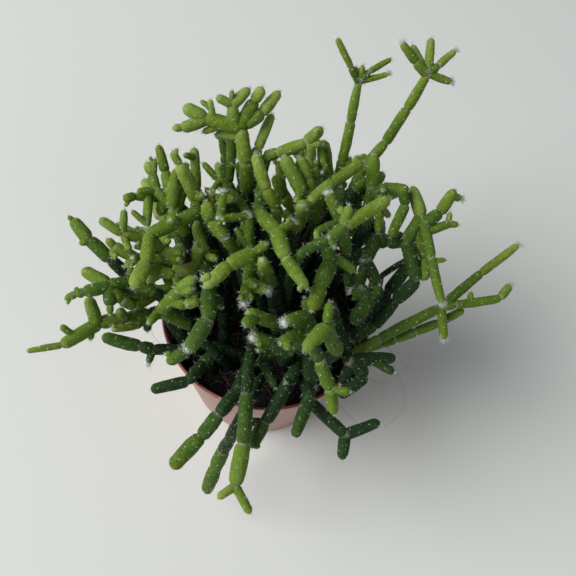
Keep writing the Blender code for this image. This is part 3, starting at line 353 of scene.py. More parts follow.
        (3.9, 3.3, (362, 350, 76), (395, 339, 78), (415, 332, 82), (438, 323, 86), (463, 310, 90)),
    ]),
    "centre_arch": (0.9, [
        (4.5, 4.6, (274, 232, 108), (270, 208, 120), (260, 190, 125), (255, 153, 130)),
    ]),
    "centre_run": (0.95, [
        (4.7, 5.3, (258, 184, 110), (263, 207, 124), (276, 231, 130), (287, 259, 131)),
        (4.7, 3.8, (287, 259, 131), (308, 290, 127)),
        (3.4, 3.0, (277, 232, 130), (292, 223, 129)),
    ]),
    "back_bar": (0.85, [
        (4.3, 4.4, (258, 178, 106), (263, 156, 117), (277, 153, 122), (306, 143, 127), (322, 128, 131)),
        (3.6, 3.3, (306, 143, 127), (322, 144, 127)),
        (4.2, 4.0, (310, 143, 126), (315, 176, 115)),
    ]),
    "back_dark": (0.6, [
        (5.4, 5.3, (334, 208, 100), (329, 178, 112), (323, 141, 121)),
        (2.8, 2.5, (328, 188, 109), (318, 174, 118), (314, 148, 124)),
    ]),
    "centre_lean": (0.8, [
        (5.0, 4.9, (314, 224, 108), (302, 197, 122), (285, 159, 128)),
        (4.6, 4.4, (310, 216, 112), (309, 178, 122), (299, 158, 126)),
        (4.8, 4.6, (318, 210, 108), (320, 184, 114), (309, 156, 121)),
        (4.5, 4.3, (300, 212, 110), (283, 197, 116), (275, 176, 121)),
        (4.6, 4.4, (316, 192, 113), (313, 163, 122)),
        (4.4, 4.2, (300, 222, 106), (284, 213, 112)),
    ]),
    "centre_bar": (0.9, [
        (4.5, 4.2, (296, 228, 108), (311, 201, 124), (333, 182, 128), (362, 162, 131)),
        (5.4, 5.2, (302, 216, 116), (303, 205, 131)),
    ]),
    "centre_short": (0.95, [
        (4.6, 4.5, (341, 250, 112), (334, 220, 126), (327, 191, 131)),
        (2.8, 2.4, (333, 221, 126), (314, 231, 128), (316, 241, 127)),
    ]),
    "near_arch": (0.9, [
        (3.3, 4.2, (290, 272, 116), (300, 253, 130), (330, 238, 139), (346, 225, 143), (389, 199, 148)),
        (4.1, 4.0, (345, 226, 143), (349, 206, 147)),
    ]),
    "right_top": (0.6, [
        (4.9, 4.7, (370, 222, 106), (372, 190, 119), (374, 156, 126)),
        (4.5, 4.2, (373, 198, 117), (382, 188, 121), (408, 190, 124)),
        (3.7, 3.5, (378, 194, 119), (380, 204, 118), (378, 232, 112)),
        (4.0, 3.8, (402, 189, 123), (406, 204, 119), (391, 236, 112)),
    ]),
    "centre_long": (0.7, [
        (4.3, 5.3, (342, 224, 108), (337, 241, 119), (331, 262, 123), (312, 311, 121)),
        (3.8, 3.5, (334, 254, 122), (358, 273, 118)),
    ]),
    "right_grey": (0.15, [
        (4.7, 4.5, (380, 222, 94), (379, 238, 103), (366, 260, 107), (379, 287, 103)),
        (5.2, 3.6, (354, 322, 94), (370, 297, 104), (379, 286, 107)),
        (5.4, 5.0, (378, 240, 103), (388, 243, 104), (406, 240, 107)),
        (4.2, 4.0, (366, 262, 107), (358, 290, 99)),
        (4.2, 4.0, (372, 296, 104), (352, 291, 102)),
        (4.4, 4.2, (348, 200, 108), (378, 191, 111)),
        (4.8, 4.4, (368, 250, 104), (352, 262, 102), (347, 286, 96)),
        (4.5, 4.3, (366, 230, 95), (340, 206, 106), (354, 191, 112), (367, 179, 116)),
        (4.6, 4.4, (342, 206, 106), (339, 190, 111)),
    ]),
    "stalk_left": (0.8, [
        (3.8, 3.4, (336, 192, 106), (342, 160, 118), (351, 121, 132), (359, 81, 146)),
        (4.4, 4.2, (339, 180, 111), (350, 158, 118)),
        (2.6, 2.3, (359, 82, 146), (351, 67, 151), (337, 38, 158)),
        (2.7, 2.3, (359, 81, 146), (363, 65, 151)),
        (2.4, 2.1, (360, 80, 146), (370, 71, 149), (391, 59, 152)),
        (2.8, 2.4, (358, 81, 146), (356, 67, 150)),
        (2.3, 2.0, (360, 81, 146), (388, 74, 148)),
    ]),
    "stalk_right": (0.8, [
        (3.8, 3.5, (352, 192, 106), (365, 167, 118), (385, 143, 126), (407, 109, 139), (428, 74, 150)),
        (3.6, 3.0, (426, 74, 150), (416, 62, 153), (402, 43, 157)),
        (3.2, 2.7, (426, 72, 150), (412, 46, 154)),
        (3.4, 2.9, (428, 71, 150), (431, 39, 158)),
        (3.0, 2.6, (429, 73, 150), (438, 66, 152), (455, 51, 155)),
        (2.9, 2.5, (428, 74, 150), (451, 82, 148)),
    ]),
}

# Stems out of sight at the back and low at the sides: bearings in degrees from +X towards +Y
BACK_BEARINGS = (48, 66, 84, 102, 122, 146, 172)
BACK_TURN = 5.0
BACK_REACH = (50.0, 66.0)
BACK_HEIGHT = (84.0, 104.0)
BACK_HUB = 0.62
BACK_HUB_DROP = 6.0
BACK_BEND = 0.84
BACK_BEND_ASIDE = 5.0
BACK_TIP_OUT = 8.0
BACK_TIP_DROP = 3.0
BACK_TIP_ASIDE = 8.0
BACK_FORK_OUT = 8.0
BACK_FORK_ASIDE = (8.0, 11.0)
BACK_FORK_UP = (2.0, 7.0)
BACK_END_OUT = (8.0, 12.0)
BACK_END_ASIDE = (2.0, 8.0)
BACK_END_UP = (-8.0, 4.0)
BACK_DROP = (7.0, 12.0)
BACK_DROP_ASIDE = 4.0
BACK_MAIN_GIRTHS = (4.4, 4.0)
BACK_FORK_GIRTHS = (3.9, 3.6)
BACK_DROP_GIRTHS = (3.6, 3.4)
BACK_YOUTH = 0.45
BACK_SEED = 11

# Fine stems
FINE_SIDES = 16
TRUNK_FINE_SIDES = 10
FINE_SWELL = 1.06
FINE_SPREAD = (0.96, 1.04)
RING_PITCH = 2.4
DOME_ANGLES = (24.0, 44.0, 62.0, 77.0, 90.0)
DOME_LENGTH = 0.95
DOME_MOST = 0.48
DOME_POWER = 2.3
END_GIRTH = 0.92
BELLY = 0.10
SLOPE_STEP = 0.02
JOINT_OVERLAP = 0.25
TIP_OVERLAP = 0.12
BOW_SHARE = 0.018
BOW_MOST = 0.4
BOW_SPREAD = (0.2, 1.0)
RIPPLE = 0.11
RIPPLE_SCALE = 0.45
COLLAR_AT = 0.2
COLLAR_WIDTH = 0.45
COLLAR_PALE = 0.75
TRUNK_PALE = 0.15
SPLIT_LENGTH = 12.5
SPLIT_SHIFT = 0.3
SPLIT_SPAN = (0.85, 1.15)
SHOOT_GIRTH = 3.7
SHOOT_SPLIT = 24.0
TAPER = (0.94, 1.0)
TIP_TAPER = (0.72, 0.98)
STUB_LENGTH = 2.2
STUB_GIRTH = 0.72
STEM_SEED = 5

# Areoles: the small woolly spots on the stems, each with a few bristles
AREOLE_PITCH = 0.95
TRUNK_AREOLE_PITCH = 2.6
AREOLE_TURN = math.radians(137.5)
AREOLE_SIZE = (0.5, 1.35)
AREOLE_SIDES = 5
AREOLE_RADIUS = 0.23
AREOLE_RISE = 0.2
AREOLE_SUNK = 0.04
AREOLE_WOBBLE = 0.3
AREOLE_GIRTHS = (0.8, 1.2)
AREOLE_WHITE = (0.35, 0.95)
AREOLE_FIRST = 0.8
AREOLE_LAST = 0.35
AREOLE_PACE = (0.75, 1.3)
AREOLE_BRISTLES = (1, 4)
WOOL_YOUTH = 0.9
BRISTLE_GIRTH = 0.1
BRISTLE_LENGTH = (0.7, 1.9)
BRISTLE_WHITE = 0.9
AREOLE_SPREAD = math.radians(50)
JOINT_SPREAD = math.radians(45)
TUFT_SPREAD = math.radians(68)

# Brushes of bristles at tips and joints, and big tufts, which have a woolly core
TIP_BRISTLES = 26
TIP_REACH = 0.4
JOINT_BRISTLES = 10
JOINT_BRISTLES_AT = 0.1
TUFT_BRISTLES = 170
TUFT_LENGTH = (0.7, 2.4)
TUFT_WIDTH = 0.9
TUFT_CORE = 0.5
TUFT_SUNK = 0.3
HAIR_SUNK = 0.1
CORE_SIDES = 9
CORE_LAYERS = 4
CORE_STEP = 24.0
CORE_GIRTHS = (0.75, 1.15)
CORE_RISES = (0.7, 1.1)
CORE_WHITE = 0.8

# Buds: new segments that have just begun to grow beside a tip
BUD_COUNTS = (0, 0, 0, 1, 1, 2)
BUD_LENGTH = (1.0, 2.4)
BUD_GIRTH = (0.42, 0.62)
BUD_SIDES = 10
BUD_BRISTLES = 7
BUD_SEED = 77
BUD_PALE = 0.2
BUD_DOWN = (0.6, 1.4)
BUD_LEAN = (0.9, 2.2)

# Side shoots: short young segments at some joints, where there is room for them
SIDE_SHARE = 0.42
SIDE_LENGTH = (2.6, 5.6)
SIDE_GIRTH = (0.58, 0.8)
SIDE_TRIES = 8
SIDE_CLEAR = 0.3
SIDE_LEAN = (0.2, 0.9)
SIDE_SEED = 33

# The places of the big white tufts in a picture 576 pixels square
TUFTS = (
    (222, 380), (238, 307), (255, 338), (290, 220), (268, 284), (361, 255), (368, 285),
    (352, 295), (280, 368), (307, 385), (327, 193), (223, 190), (222, 238), (250, 211),
    (363, 81), (430, 74), (518, 243), (441, 303), (402, 43), (412, 46), (455, 51), (451, 82),
    (510, 285), (444, 339), (293, 320), (187, 345), (388, 74), (148, 363), (461, 199),
)
TUFT_REACH = 11.0

# How young the parts of a stem look, from 0 old to 1 young. A trunk is darkest at its foot, and most
# trunks are painted darker still towards the foot as painted shade deep in the thicket
TRUNK_FOOT_SHADE = 0.4
TRUNK_YOUTH = 0.3
TRUNK_STEP = 0.05
ROOT_YOUTH = 0.12
ROOT_FADE = 0.15
ROOT_SPREAD = 0.04
LEAST_YOUTH = 0.06
YOUTH_SHARES = (0.5, 0.3)
YOUTH_SPREAD = (-0.14, 0.12)
TIP_LIFT = 0.24
BIT_LIFT = 0.06
LIFT_SHARES = (0.25, 0.75)
BUD_STEP = 0.1
SIDE_STEP = 0.12

# Stems that end in long thin shoots, with few joints
LONG_SHOOTS = ("stalk_left", "stalk_right", "right_long")

# Stems whose first branch is old and dark at its root and young at its end
DARK_ROOTS = ("front_left", "front_mid", "front_low", "left_upper", "right_pendant", "left_rim",
              "front_fork", "dark_front")

# Stems with no buds and side shoots
SMOOTH_TIPS = DARK_ROOTS + LONG_SHOOTS + ("crown_left", "right_dark")

# How much younger or older some stems look than their solids' age
TONE_SHIFTS = {
    "low_yellow": -0.44, "tufted_low": -0.25, "tufted_cross": -0.24, "near_knob": -0.16,
    "centre_run": -0.18, "near_arch": -0.2, "centre_short": -0.18, "centre_long": -0.2,
    "low_bright": -0.1, "left_column": -0.1, "upper_cross": -0.14, "left_crook": -0.1,
    "right_pendant": -0.08, "left_upper": 0.1, "left_top_bar": 0.18, "left_fork": 0.16,
    "crown_left": 0.15, "back_bar": 0.12, "back_dark": 0.14, "right_grey": 0.14,
    "left_bar": 0.6, "back_1": 0.4, "back_2": 0.3, "back_4": 0.3, "back_6": 0.4, "back_7": 0.12,
}

# Root fibres that hang out over the rim: pixels across, pixels down and height in mm
LOOSE_FIBRES = (
    ((378, 352, 68), (388, 360, 73), (397, 371, 66), (405, 395, 52), (400, 414, 42),
     (384, 427, 38)),
    ((372, 344, 68), (384, 345, 74), (394, 351, 72), (411, 359, 68)),
    ((374, 347, 68), (385, 346, 75), (398, 358, 70), (409, 367, 64)),
    ((330, 400, 66), (340, 405, 73), (345, 411, 71), (357, 423, 63)),
    ((360, 374, 66), (371, 380, 73), (380, 383, 71), (389, 380, 68)),
    ((176, 322, 66), (165, 318, 73), (154, 322, 72), (152, 333, 67), (165, 349, 60)),
)
LOOSE_FIBRE_GIRTH = 0.28

# Colours, as linear red, green and blue
SKIN_STOPS = (
    # The lowest stop is the oldest skin's colour, darkened further to near-black as painted shade for
    # trunks deep in the thicket
    (0.0, (0.003, 0.013, 0.005)),
    (0.22, (0.011, 0.039, 0.010)),
    (0.5, (0.068, 0.135, 0.012)),
    (0.78, (0.165, 0.243, 0.022)),
    (1.0, (0.290, 0.400, 0.080)),
)
SKIN_FRESH = (0.085, 0.185, 0.02)
SKIN_BLOOM = (0.085, 0.14, 0.06)
SKIN_DOT = (0.50, 0.56, 0.40)
SKIN_COLLAR = (0.42, 0.45, 0.26)
# Dull wool of old areoles, kept dark partly as painted shade deep in the thicket
WOOL_DULL = (0.035, 0.05, 0.028)
WOOL_BRIGHT = (0.82, 0.85, 0.78)
POT_DUSTY = (0.46, 0.25, 0.21)
POT_DUSTIER = (0.52, 0.34, 0.29)
POT_GRAINY = (0.30, 0.15, 0.125)
POT_DEEP = (0.33, 0.085, 0.075)
# Painted shade: near-black for the inside of the pot's wall
POT_INNER_SHADE = (0.045, 0.016, 0.012)
# Peat's own dark brown, darkened further as painted shade under the stems
SOIL_DARK = (0.006, 0.0045, 0.0035)
SOIL_LIGHT = (0.035, 0.024, 0.017)
FIBRE_COLOUR = (0.20, 0.145, 0.10)
FIBRE_DARK = (0.09, 0.065, 0.05)
FIBRE_LIGHT = (0.50, 0.43, 0.36)
FLOOR_COLOUR = (0.77, 0.785, 0.76)

# Half the floor's width in mm, and the point in metres that the lamps face
FLOOR_REACH = 1600.0
CROWN = (0.0, 0.0, 0.08)


def unit(vector):
    return vector / max(np.linalg.norm(vector), 1e-9)


def ray(angle):
    """The level direction at an angle."""
    return np.array([math.cos(angle), math.sin(angle), 0.0])


def circle(count, shift=0.0):
    """The angles of evenly spaced corners."""
    return [2 * math.pi * (corner + shift) / count for corner in range(count)]


def ring(radius, height, sides):
    """The corners of a level ring round the Z axis."""
    return [radius * ray(angle) + UP * height for angle in circle(sides)]


def view_axes():
    """The picture's right and up, and the direction of sight."""
    ahead = np.array([0.0, math.cos(VIEW_DOWN), -math.sin(VIEW_DOWN)])
    level = ray(0.0)
    above = np.cross(level, ahead)
    right = level * math.cos(VIEW_ROLL) + above * math.sin(VIEW_ROLL)
    up = above * math.cos(VIEW_ROLL) - level * math.sin(VIEW_ROLL)
    return right, up, ahead


def seen(across, down, height):
    """The point, in mm, at a height above the table on the line of sight through a pixel."""
    right, up, ahead = view_axes()
    sight = (ahead
             + right * (across - VIEW_MIDDLE) / VIEW_FOCAL
             + up * (VIEW_MIDDLE - down) / VIEW_FOCAL)
    return VIEW_EYE + sight * (height - VIEW_EYE[2]) / sight[2]


class Thicket:
    """All joints of all stems in one list, so that the stems can be bent clear together.

    A bit is a straight run between two joints. Bits and joints go by their numbers.
    """

    def __init__(self):
        self.stems = []
        self.branches = []
        self.joints = []
        self.still = []
        self.drawn = []
        self.ends = []
        self.radii = []
        self.owner = []
        self.old = []
        self.grips = []

    def joint(self, place, still=False, drawn=False):
        self.joints.append(place)
        self.still.append(still)
        self.drawn.append(drawn)
        return len(self.joints) - 1

    def chain(self, joints, girths, old):
        """A branch of the last stem through joints, with one girth for each bit."""
        bits = []
        for first, last, girth, aged in zip(joints, joints[1:], girths, old):
            bits.append(len(self.ends))
            self.ends.append((first, last))
            self.radii.append(girth / 2)
            self.owner.append(len(self.stems) - 1)
            self.old.append(aged)
        self.branches[-1].append(bits)

    def nearest(self, place):
        """The way to the last stem from a point: its length, the bit's ends, the share along."""
        ways = []
        for bit in sum(self.branches[-1], []):
            first, last = (self.joints[end] for end in self.ends[bit])
            run = last - first
            along = float(np.clip(np.dot(place - first, run) / np.dot(run, run), 0.0, 1.0))
            spot = first + run * along
            ways.append((float(np.linalg.norm(spot - place)), self.ends[bit], along, spot))
        return min(ways, key=lambda way: way[0])

    def fork(self, places, girths, drawn):
        """A branch whose root is gripped by the nearest bit of its own stem."""
        away, grip, along, spot = self.nearest(places[0])
        root = self.joint(spot)
        self.grips.append((root, grip, along))
        if away < GRIP_REACH:
            places = places[1:]
        else:
            girths = girths[:1] + girths
        joints = [root] + [self.joint(place, drawn=drawn) for place in places]
        self.chain(joints, girths, [False] * len(places))

    def gaps(self, spot):
        """How far a point lies from the skin of every bit."""
        joints = np.array(self.joints)
        starts, stops = (joints[[pair[end] for pair in self.ends]] for end in (0, 1))
        runs = stops - starts
        along = np.sum((spot - starts) * runs, axis=1) / np.sum(runs * runs, axis=1)
        nearest = starts + runs * np.clip(along, 0.0, 1.0)[:, None]
        return np.linalg.norm(nearest - spot, axis=1) - np.array(self.radii)


def spaced_girths(first, last, count):
    if count == 1:
        return [(first + last) / 2]
    return [first + (last - first) * step / (count - 1) for step in range(count)]


def share_feet(wishes):
    """Spots on a sunflower spiral, swapped until no swap brings the feet nearer to the wishes."""
    golden = math.pi * (3.0 - math.sqrt(5.0))
    count = len(wishes)
    spots = [FOOT_FIELD * math.sqrt((step + 0.5) / count) * ray(step * golden)[:2]
             for step in range(count)]
    improved = True
    while improved:
        improved = False
        for one in range(count):
            for two in range(one + 1, count):
                kept, swapped = (
                    np.sum((wishes[one] - spot) ** 2) + np.sum((wishes[two] - other) ** 2)
                    for spot, other in ((spots[one], spots[two]), (spots[two], spots[one])))
                if swapped < kept - TINY:
                    spots[one], spots[two] = spots[two], spots[one]
                    improved = True
    return spots


def trunk_places(start, goal, heading):
    """Joints of an old stem from the soil to where its visible part starts."""
    lift = start + UP * max(TRUNK_LIFT, 0.5 * (goal[2] - SOIL_TOP))
    span = np.linalg.norm(goal - start)
    lead = goal - heading * min(TRUNK_LEAD, 0.4 * span)
    count = max(2, int(round(span / TRUNK_PITCH)))
    places = [start]
    for step in range(1, count):
        t = step / count
        places.append((1 - t) ** 3 * start + 3 * (1 - t) ** 2 * t * lift
                      + 3 * (1 - t) * t ** 2 * lead + t ** 3 * goal)
    return places


def back_routes():
    """Arching stems round the back, from a seeded rule."""
    draw = random.Random(BACK_SEED)
    routes = []
    for number, bearing in enumerate(BACK_BEARINGS):
        out = ray(math.radians(bearing + draw.uniform(-BACK_TURN, BACK_TURN)))
        side = np.array([-out[1], out[0], 0.0])
        reach = draw.uniform(*BACK_REACH)
        height = draw.uniform(*BACK_HEIGHT)
        hub = out * reach * BACK_HUB + UP * (height - BACK_HUB_DROP)
        aside = side * draw.uniform(-BACK_BEND_ASIDE, BACK_BEND_ASIDE)
        bend = out * reach * BACK_BEND + aside + UP * height
        aside = side * draw.uniform(-BACK_TIP_ASIDE, BACK_TIP_ASIDE)
        tip = out * (reach + BACK_TIP_OUT) + aside + UP * (height - BACK_TIP_DROP)
        branches = [(*BACK_MAIN_GIRTHS, hub, bend, tip)]
        for turn in (-1.0, 1.0):
            fork = hub + out * BACK_FORK_OUT + side * turn * draw.uniform(*BACK_FORK_ASIDE)
            fork = fork + UP * draw.uniform(*BACK_FORK_UP)
            end = fork + out * draw.uniform(*BACK_END_OUT)
            end = end + side * turn * draw.uniform(*BACK_END_ASIDE)
            end = end + UP * draw.uniform(*BACK_END_UP)
            branches.append((*BACK_FORK_GIRTHS, hub, fork, end))
        aside = side * draw.uniform(-BACK_DROP_ASIDE, BACK_DROP_ASIDE)
        drop = bend + out * BACK_DROP[0] + aside - UP * BACK_DROP[1]
        branches.append((*BACK_DROP_GIRTHS, bend, drop))
        routes.append(("back_%d" % (number + 1), BACK_YOUTH, branches, False))
    return routes


def plant():
    """The whole thicket before it is bent clear."""
    routes = []
    for name, (youth, branches) in ROUTES.items():
        placed = [row[:2] + tuple(seen(*spot) for spot in row[2:]) for row in branches]
        routes.append((name, youth, placed, True))
    routes += back_routes()
    wishes = [FOOT_WISH * branches[0][2][:2] for name, youth, branches, drawn in routes]
    wishes = [wish * min(1.0, FOOT_WISH_REACH / max(np.linalg.norm(wish), TINY))
              for wish in wishes]
    thicket = Thicket()
    for foot, (name, youth, branches, drawn) in zip(share_feet(wishes), routes):
        thicket.stems.append((name, youth))
        thicket.branches.append([])
        first, last, *places = branches[0]
        root = np.array([*foot, SOIL_TOP + FOOT_RISE])
        trunk = trunk_places(root, places[0], unit(unit(places[1] - places[0]) + UP))
        below = len(trunk) + 1
        joints = [thicket.joint(np.array([*foot, SOIL_TOP - FOOT_DEPTH]), still=True),
                  thicket.joint(trunk[0], still=True)]
        joints += [thicket.joint(place) for place in trunk[1:]]
        joints += [thicket.joint(place, drawn=drawn) for place in places]
        girths = [FOOT_GIRTH] + spaced_girths(FOOT_GIRTH, first, below)[1:]
        girths += spaced_girths(first, last, len(places) - 1)
        thicket.chain(joints, girths, [True] * below + [False] * (len(places) - 1))
        for first, last, *places in branches[1:]:
            thicket.fork(places, spaced_girths(first, last, len(places) - 1), drawn)
    return thicket


def closest(start_a, run_a, start_b, run_b):
    """How far along each of two straight runs their nearest points lie, for many pairs."""
    between = start_a - start_b
    aa, bb, ab, aw, bw = (np.sum(one * two, axis=1) for one, two in (
        (run_a, run_a), (run_b, run_b), (run_a, run_b), (run_a, between), (run_b, between)))
    spread = np.maximum(aa * bb - ab * ab, 1e-9)
    along_a = np.clip((ab * bw - bb * aw) / spread, 0.0, 1.0)
    along_b = np.clip((ab * along_a + bw) / bb, 0.0, 1.0)
    along_a = np.clip((ab * along_b - aw) / aa, 0.0, 1.0)
    return along_a, along_b


def outer_radius(height):
    """The pot's outer radius at a height, band included, with a little to spare."""
    share = np.clip(height / POT_HEIGHT, 0.0, 1.0)
    return BASE_RADIUS + (RIM_RADIUS - BASE_RADIUS) * share + LIP_ROUND


def keep_off_pot(places, reach, free):
    """Move joints out of the soil, the wall and the table."""
    flat = np.linalg.norm(places[:, :2], axis=1)
    out = places[:, :2] / np.maximum(flat, TINY)[:, None]
    inside = flat < outer_radius(places[:, 2]) - 2.0
    lowest = SOIL_TOP + SOIL_BUMP + SOIL_CLEAR + reach
    low = free & inside & (places[:, 2] < lowest)
    places[low, 2] = lowest[low]
    below_rim = free & (places[:, 2] < POT_HEIGHT)
    outside = outer_radius(places[:, 2])
    for side, limit, sign in ((inside, outside - WALL - WALL_CLEAR - reach, 1),
                              (~inside, outside + OUTER_CLEAR + reach, -1)):
        past = below_rim & side & (sign * flat > sign * limit)
        places[past, :2] = out[past] * limit[past][:, None]
    lowest = reach + TABLE_CLEAR
    table = free & (places[:, 2] < lowest)
    places[table, 2] = lowest[table]


def settle(thicket):
    """Bend the stems for a set number of rounds, pushing apart any two that come nearer to each other
    than the gap.
    """
    places = np.array(thicket.joints)
    wanted = places.copy()
    count = len(places)
    free = ~np.array(thicket.still)
    drawn = np.array(thicket.drawn)
    ends = np.array(thicket.ends)
    radii = np.array(thicket.radii) * SIDE_SWELL
    # A ring of straight runs round the rim belongs to no stem, and the stems stay off it too
    lip = np.array(ring(RIM_RADIUS - LIP_GUARD_IN, POT_HEIGHT - LIP_GUARD_DOWN, LIP_POINTS))
    lip_ends = [(count + step, count + (step + 1) % LIP_POINTS) for step in range(LIP_POINTS)]
    all_ends = np.vstack([ends, lip_ends])
    all_radii = np.append(radii, [LIP_GUARD] * LIP_POINTS)
    all_owner = np.append(thicket.owner, [-1] * LIP_POINTS)
    reach = np.zeros(count)
    for pair, radius in zip(ends, radii):
        reach[pair] = np.maximum(reach[pair], radius)
    one, two = np.triu_indices(len(all_ends), 1)
    apart = all_owner[one] != all_owner[two]
    one, two = one[apart], two[apart]
    lengths = np.linalg.norm(wanted[ends[:, 1]] - wanted[ends[:, 0]], axis=1)
    eye_lines = wanted - VIEW_EYE
    eye_lines /= np.linalg.norm(eye_lines, axis=1)[:, None]
    for step in range(SETTLE_ROUNDS):
        every = np.vstack([places, lip])
        if step % PAIR_EVERY == 0:
            start, finish = every[all_ends[:, 0]], every[all_ends[:, 1]]
            middle = (start + finish) / 2
            half = np.linalg.norm(finish - start, axis=1) / 2
            far = np.linalg.norm(middle[one] - middle[two], axis=1)
            near = far < half[one] + half[two] + all_radii[one] + all_radii[two] + PAIR_REACH
            pair_a, pair_b = one[near], two[near]
        start_a, start_b = every[all_ends[pair_a, 0]], every[all_ends[pair_b, 0]]
        run_a = every[all_ends[pair_a, 1]] - start_a
        run_b = every[all_ends[pair_b, 1]] - start_b
        along_a, along_b = closest(start_a, run_a, start_b, run_b)
        between = (start_a + run_a * along_a[:, None]) - (start_b + run_b * along_b[:, None])
        distance = np.linalg.norm(between, axis=1)
        short = all_radii[pair_a] + all_radii[pair_b] + STEM_GAP - distance
        close = short > 0
        away = between[close] / np.maximum(distance[close], TINY)[:, None]
        push = away * (short[close] * 0.5)[:, None]
        shift = np.zeros((count + LIP_POINTS, 3))
        for pairs, along, sign in ((pair_a, along_a, 1.0), (pair_b, along_b, -1.0)):
            share = along[close]
            scale = 1.0 / ((1 - share) ** 2 + share ** 2)
            heads = all_ends[pairs[close]]
            np.add.at(shift, heads[:, 0], sign * push * ((1 - share) * scale)[:, None])
            np.add.at(shift, heads[:, 1], sign * push * (share * scale)[:, None])
        pull = HOME_PULL * max(0.0, 1.0 - step / (HOME_FADE * SETTLE_ROUNDS))
        back = wanted - places
        aside = back - eye_lines * np.sum(back * eye_lines, axis=1)[:, None]
        home = np.where(drawn[:, None], aside + HOME_ALONG * (back - aside), HOME_HIDDEN * back)
        stretch = places[ends[:, 1]] - places[ends[:, 0]]
        now = np.linalg.norm(stretch, axis=1)
        tie = stretch * ((now - lengths) / np.maximum(now, TINY) * LENGTH_TIE)[:, None]
        springs = np.zeros((count, 3))
        np.add.at(springs, ends[:, 0], tie)
        np.add.at(springs, ends[:, 1], -tie)
        moved = PUSH_SHARE * shift[:count] + pull * home + springs
        moved[~free] = 0.0
        places = places + moved
        for root, (first, last), along in thicket.grips:
            places[root] = places[first] + (places[last] - places[first]) * along
        keep_off_pot(places, reach, free)
    thicket.joints = list(places)


def plain_mesh(name, places, faces):
    """A mesh in metres from places in millimetres."""
    made = bpy.data.meshes.new(name)
    made.from_pydata((np.array(places) * MM).tolist(), [], faces)
    return made


def linked(name, data):
    """A new object in the scene."""
    item = bpy.data.objects.new(name, data)
    bpy.context.scene.collection.objects.link(item)
    return item


def tube_faces(sides, rings, low_pole=True, high_pole=True):
    """Faces of rings of corners in a row, closed at each end by a pole or else by a flat face."""
    first = int(low_pole)
    last = first + (rings - 1) * sides
    faces = []
    if not low_pole:
        faces.append(tuple(reversed(range(sides))))
    if not high_pole:
        faces.append(tuple(range(last, last + sides)))
    for corner in range(sides):
        after = (corner + 1) % sides
        if low_pole:
            faces.append((0, 1 + after, 1 + corner))
        if high_pole:
            faces.append((last + corner, last + after, last + sides))
        for low in range(first, last, sides):
            faces.append((low + corner, low + after, low + sides + after, low + sides + corner))
    return faces


def spike_faces(sides):
    return [(corner, (corner + 1) % sides, sides) for corner in range(sides)]


class Heap:
    """Corners and faces gathered for one mesh, with a tint for each corner."""

    def __init__(self):
        self.places = []
        self.tints = []
        self.faces = []
        self.looks = []

    def add(self, places, faces, tints, look=0):
        """Faces count from this batch's first corner. Tints are youth, paleness and chance."""
        count = len(self.places)
        self.places += list(places)
        self.tints += list(np.broadcast_to(tints, (len(places), 3)))
        self.faces += [tuple(corner + count for corner in face) for face in faces]
        self.looks += [look] * len(faces)

    def add_wool(self, places, faces, white, chance=0.5):
        """A batch in the second material, the wool."""
        self.add(places, faces, (WOOL_YOUTH, white, chance), look=1)

    def piece(self, name):
        """All of it as one smooth object."""
        made = plain_mesh(name, self.places, self.faces)
        made.polygons.foreach_set("use_smooth", [True] * len(self.faces))
        made.polygons.foreach_set("material_index", self.looks)
        tints = np.insert(self.tints, 3, 1.0, axis=1).astype(np.float32)
        growth = made.attributes.new("growth", "FLOAT_COLOR", "POINT")
        growth.data.foreach_set("color", tints.ravel())
        made.update()
        return linked(name, made)


def across(ahead):
    """Two directions square to a direction and to each other."""
    hint = np.array([1.0, 0.0, 0.0]) if abs(ahead[0]) < 0.8 else np.array([0.0, 1.0, 0.0])
    side = unit(hint - ahead * np.dot(hint, ahead))
    return side, np.cross(ahead, side)


def around(axes, turn):
    """The direction at a turn, from two directions square to each other."""
    return axes[0] * math.cos(turn) + axes[1] * math.sin(turn)


def any_turn(draw):
    return draw.uniform(0, 2 * math.pi)


class Segment:
    """One segment of a stem: a bowed rod with round ends."""

    def __init__(self, start, end, radius, free_end, bow=0 * UP, taper=1.0):
        self.start = start
        self.run = end - start
        self.length = np.linalg.norm(self.run)
        self.ahead = self.run / self.length
        self.axes = across(self.ahead)
        self.radius = radius
        self.bow = bow
        self.taper = taper
        self.before = -JOINT_OVERLAP * radius
        self.after = self.length + (TIP_OVERLAP if free_end else JOINT_OVERLAP) * radius
        self.dome = min(DOME_LENGTH * radius, DOME_MOST * (self.after - self.before))

    def centre(self, reach):
        share = reach / self.length
        return self.start + self.run * share + self.bow * 4 * share * (1 - share)

    def girth(self, reach):
        """The radius at a distance along, round at both ends."""
        share = min(max(reach / self.length, 0.0), 1.0)
        full = self.radius * (END_GIRTH + BELLY * math.sin(math.pi * share))
        full *= 1 + (self.taper - 1) * share ** 2
        near = min(reach - self.before, self.after - reach)
        if near >= self.dome:
            return full
        return full * max(1 - (1 - near / self.dome) ** DOME_POWER, 0.0) ** 0.5

    def rings(self):
        """Distances along at which the rod has a ring, without its two poles."""
        dome = [self.dome * (1 - math.cos(math.radians(angle))) for angle in DOME_ANGLES]
        first = [self.before + reach for reach in dome]
        last = [self.after - reach for reach in reversed(dome)]
        middle = last[0] - first[-1]
        count = max(1, round(middle / RING_PITCH))
        return first + [first[-1] + middle * step / count for step in range(1, count)] + last

    def surface(self, reach, turn):
        """A point of the skin and the direction out of it."""
        out = around(self.axes, turn)
        step = SLOPE_STEP * self.radius
        lower = max(reach - step, self.before)
        upper = min(reach + step, self.after)
        slope = (self.girth(upper) - self.girth(lower)) / (upper - lower)
        return self.centre(reach) + out * self.girth(reach), unit(out - self.ahead * slope)


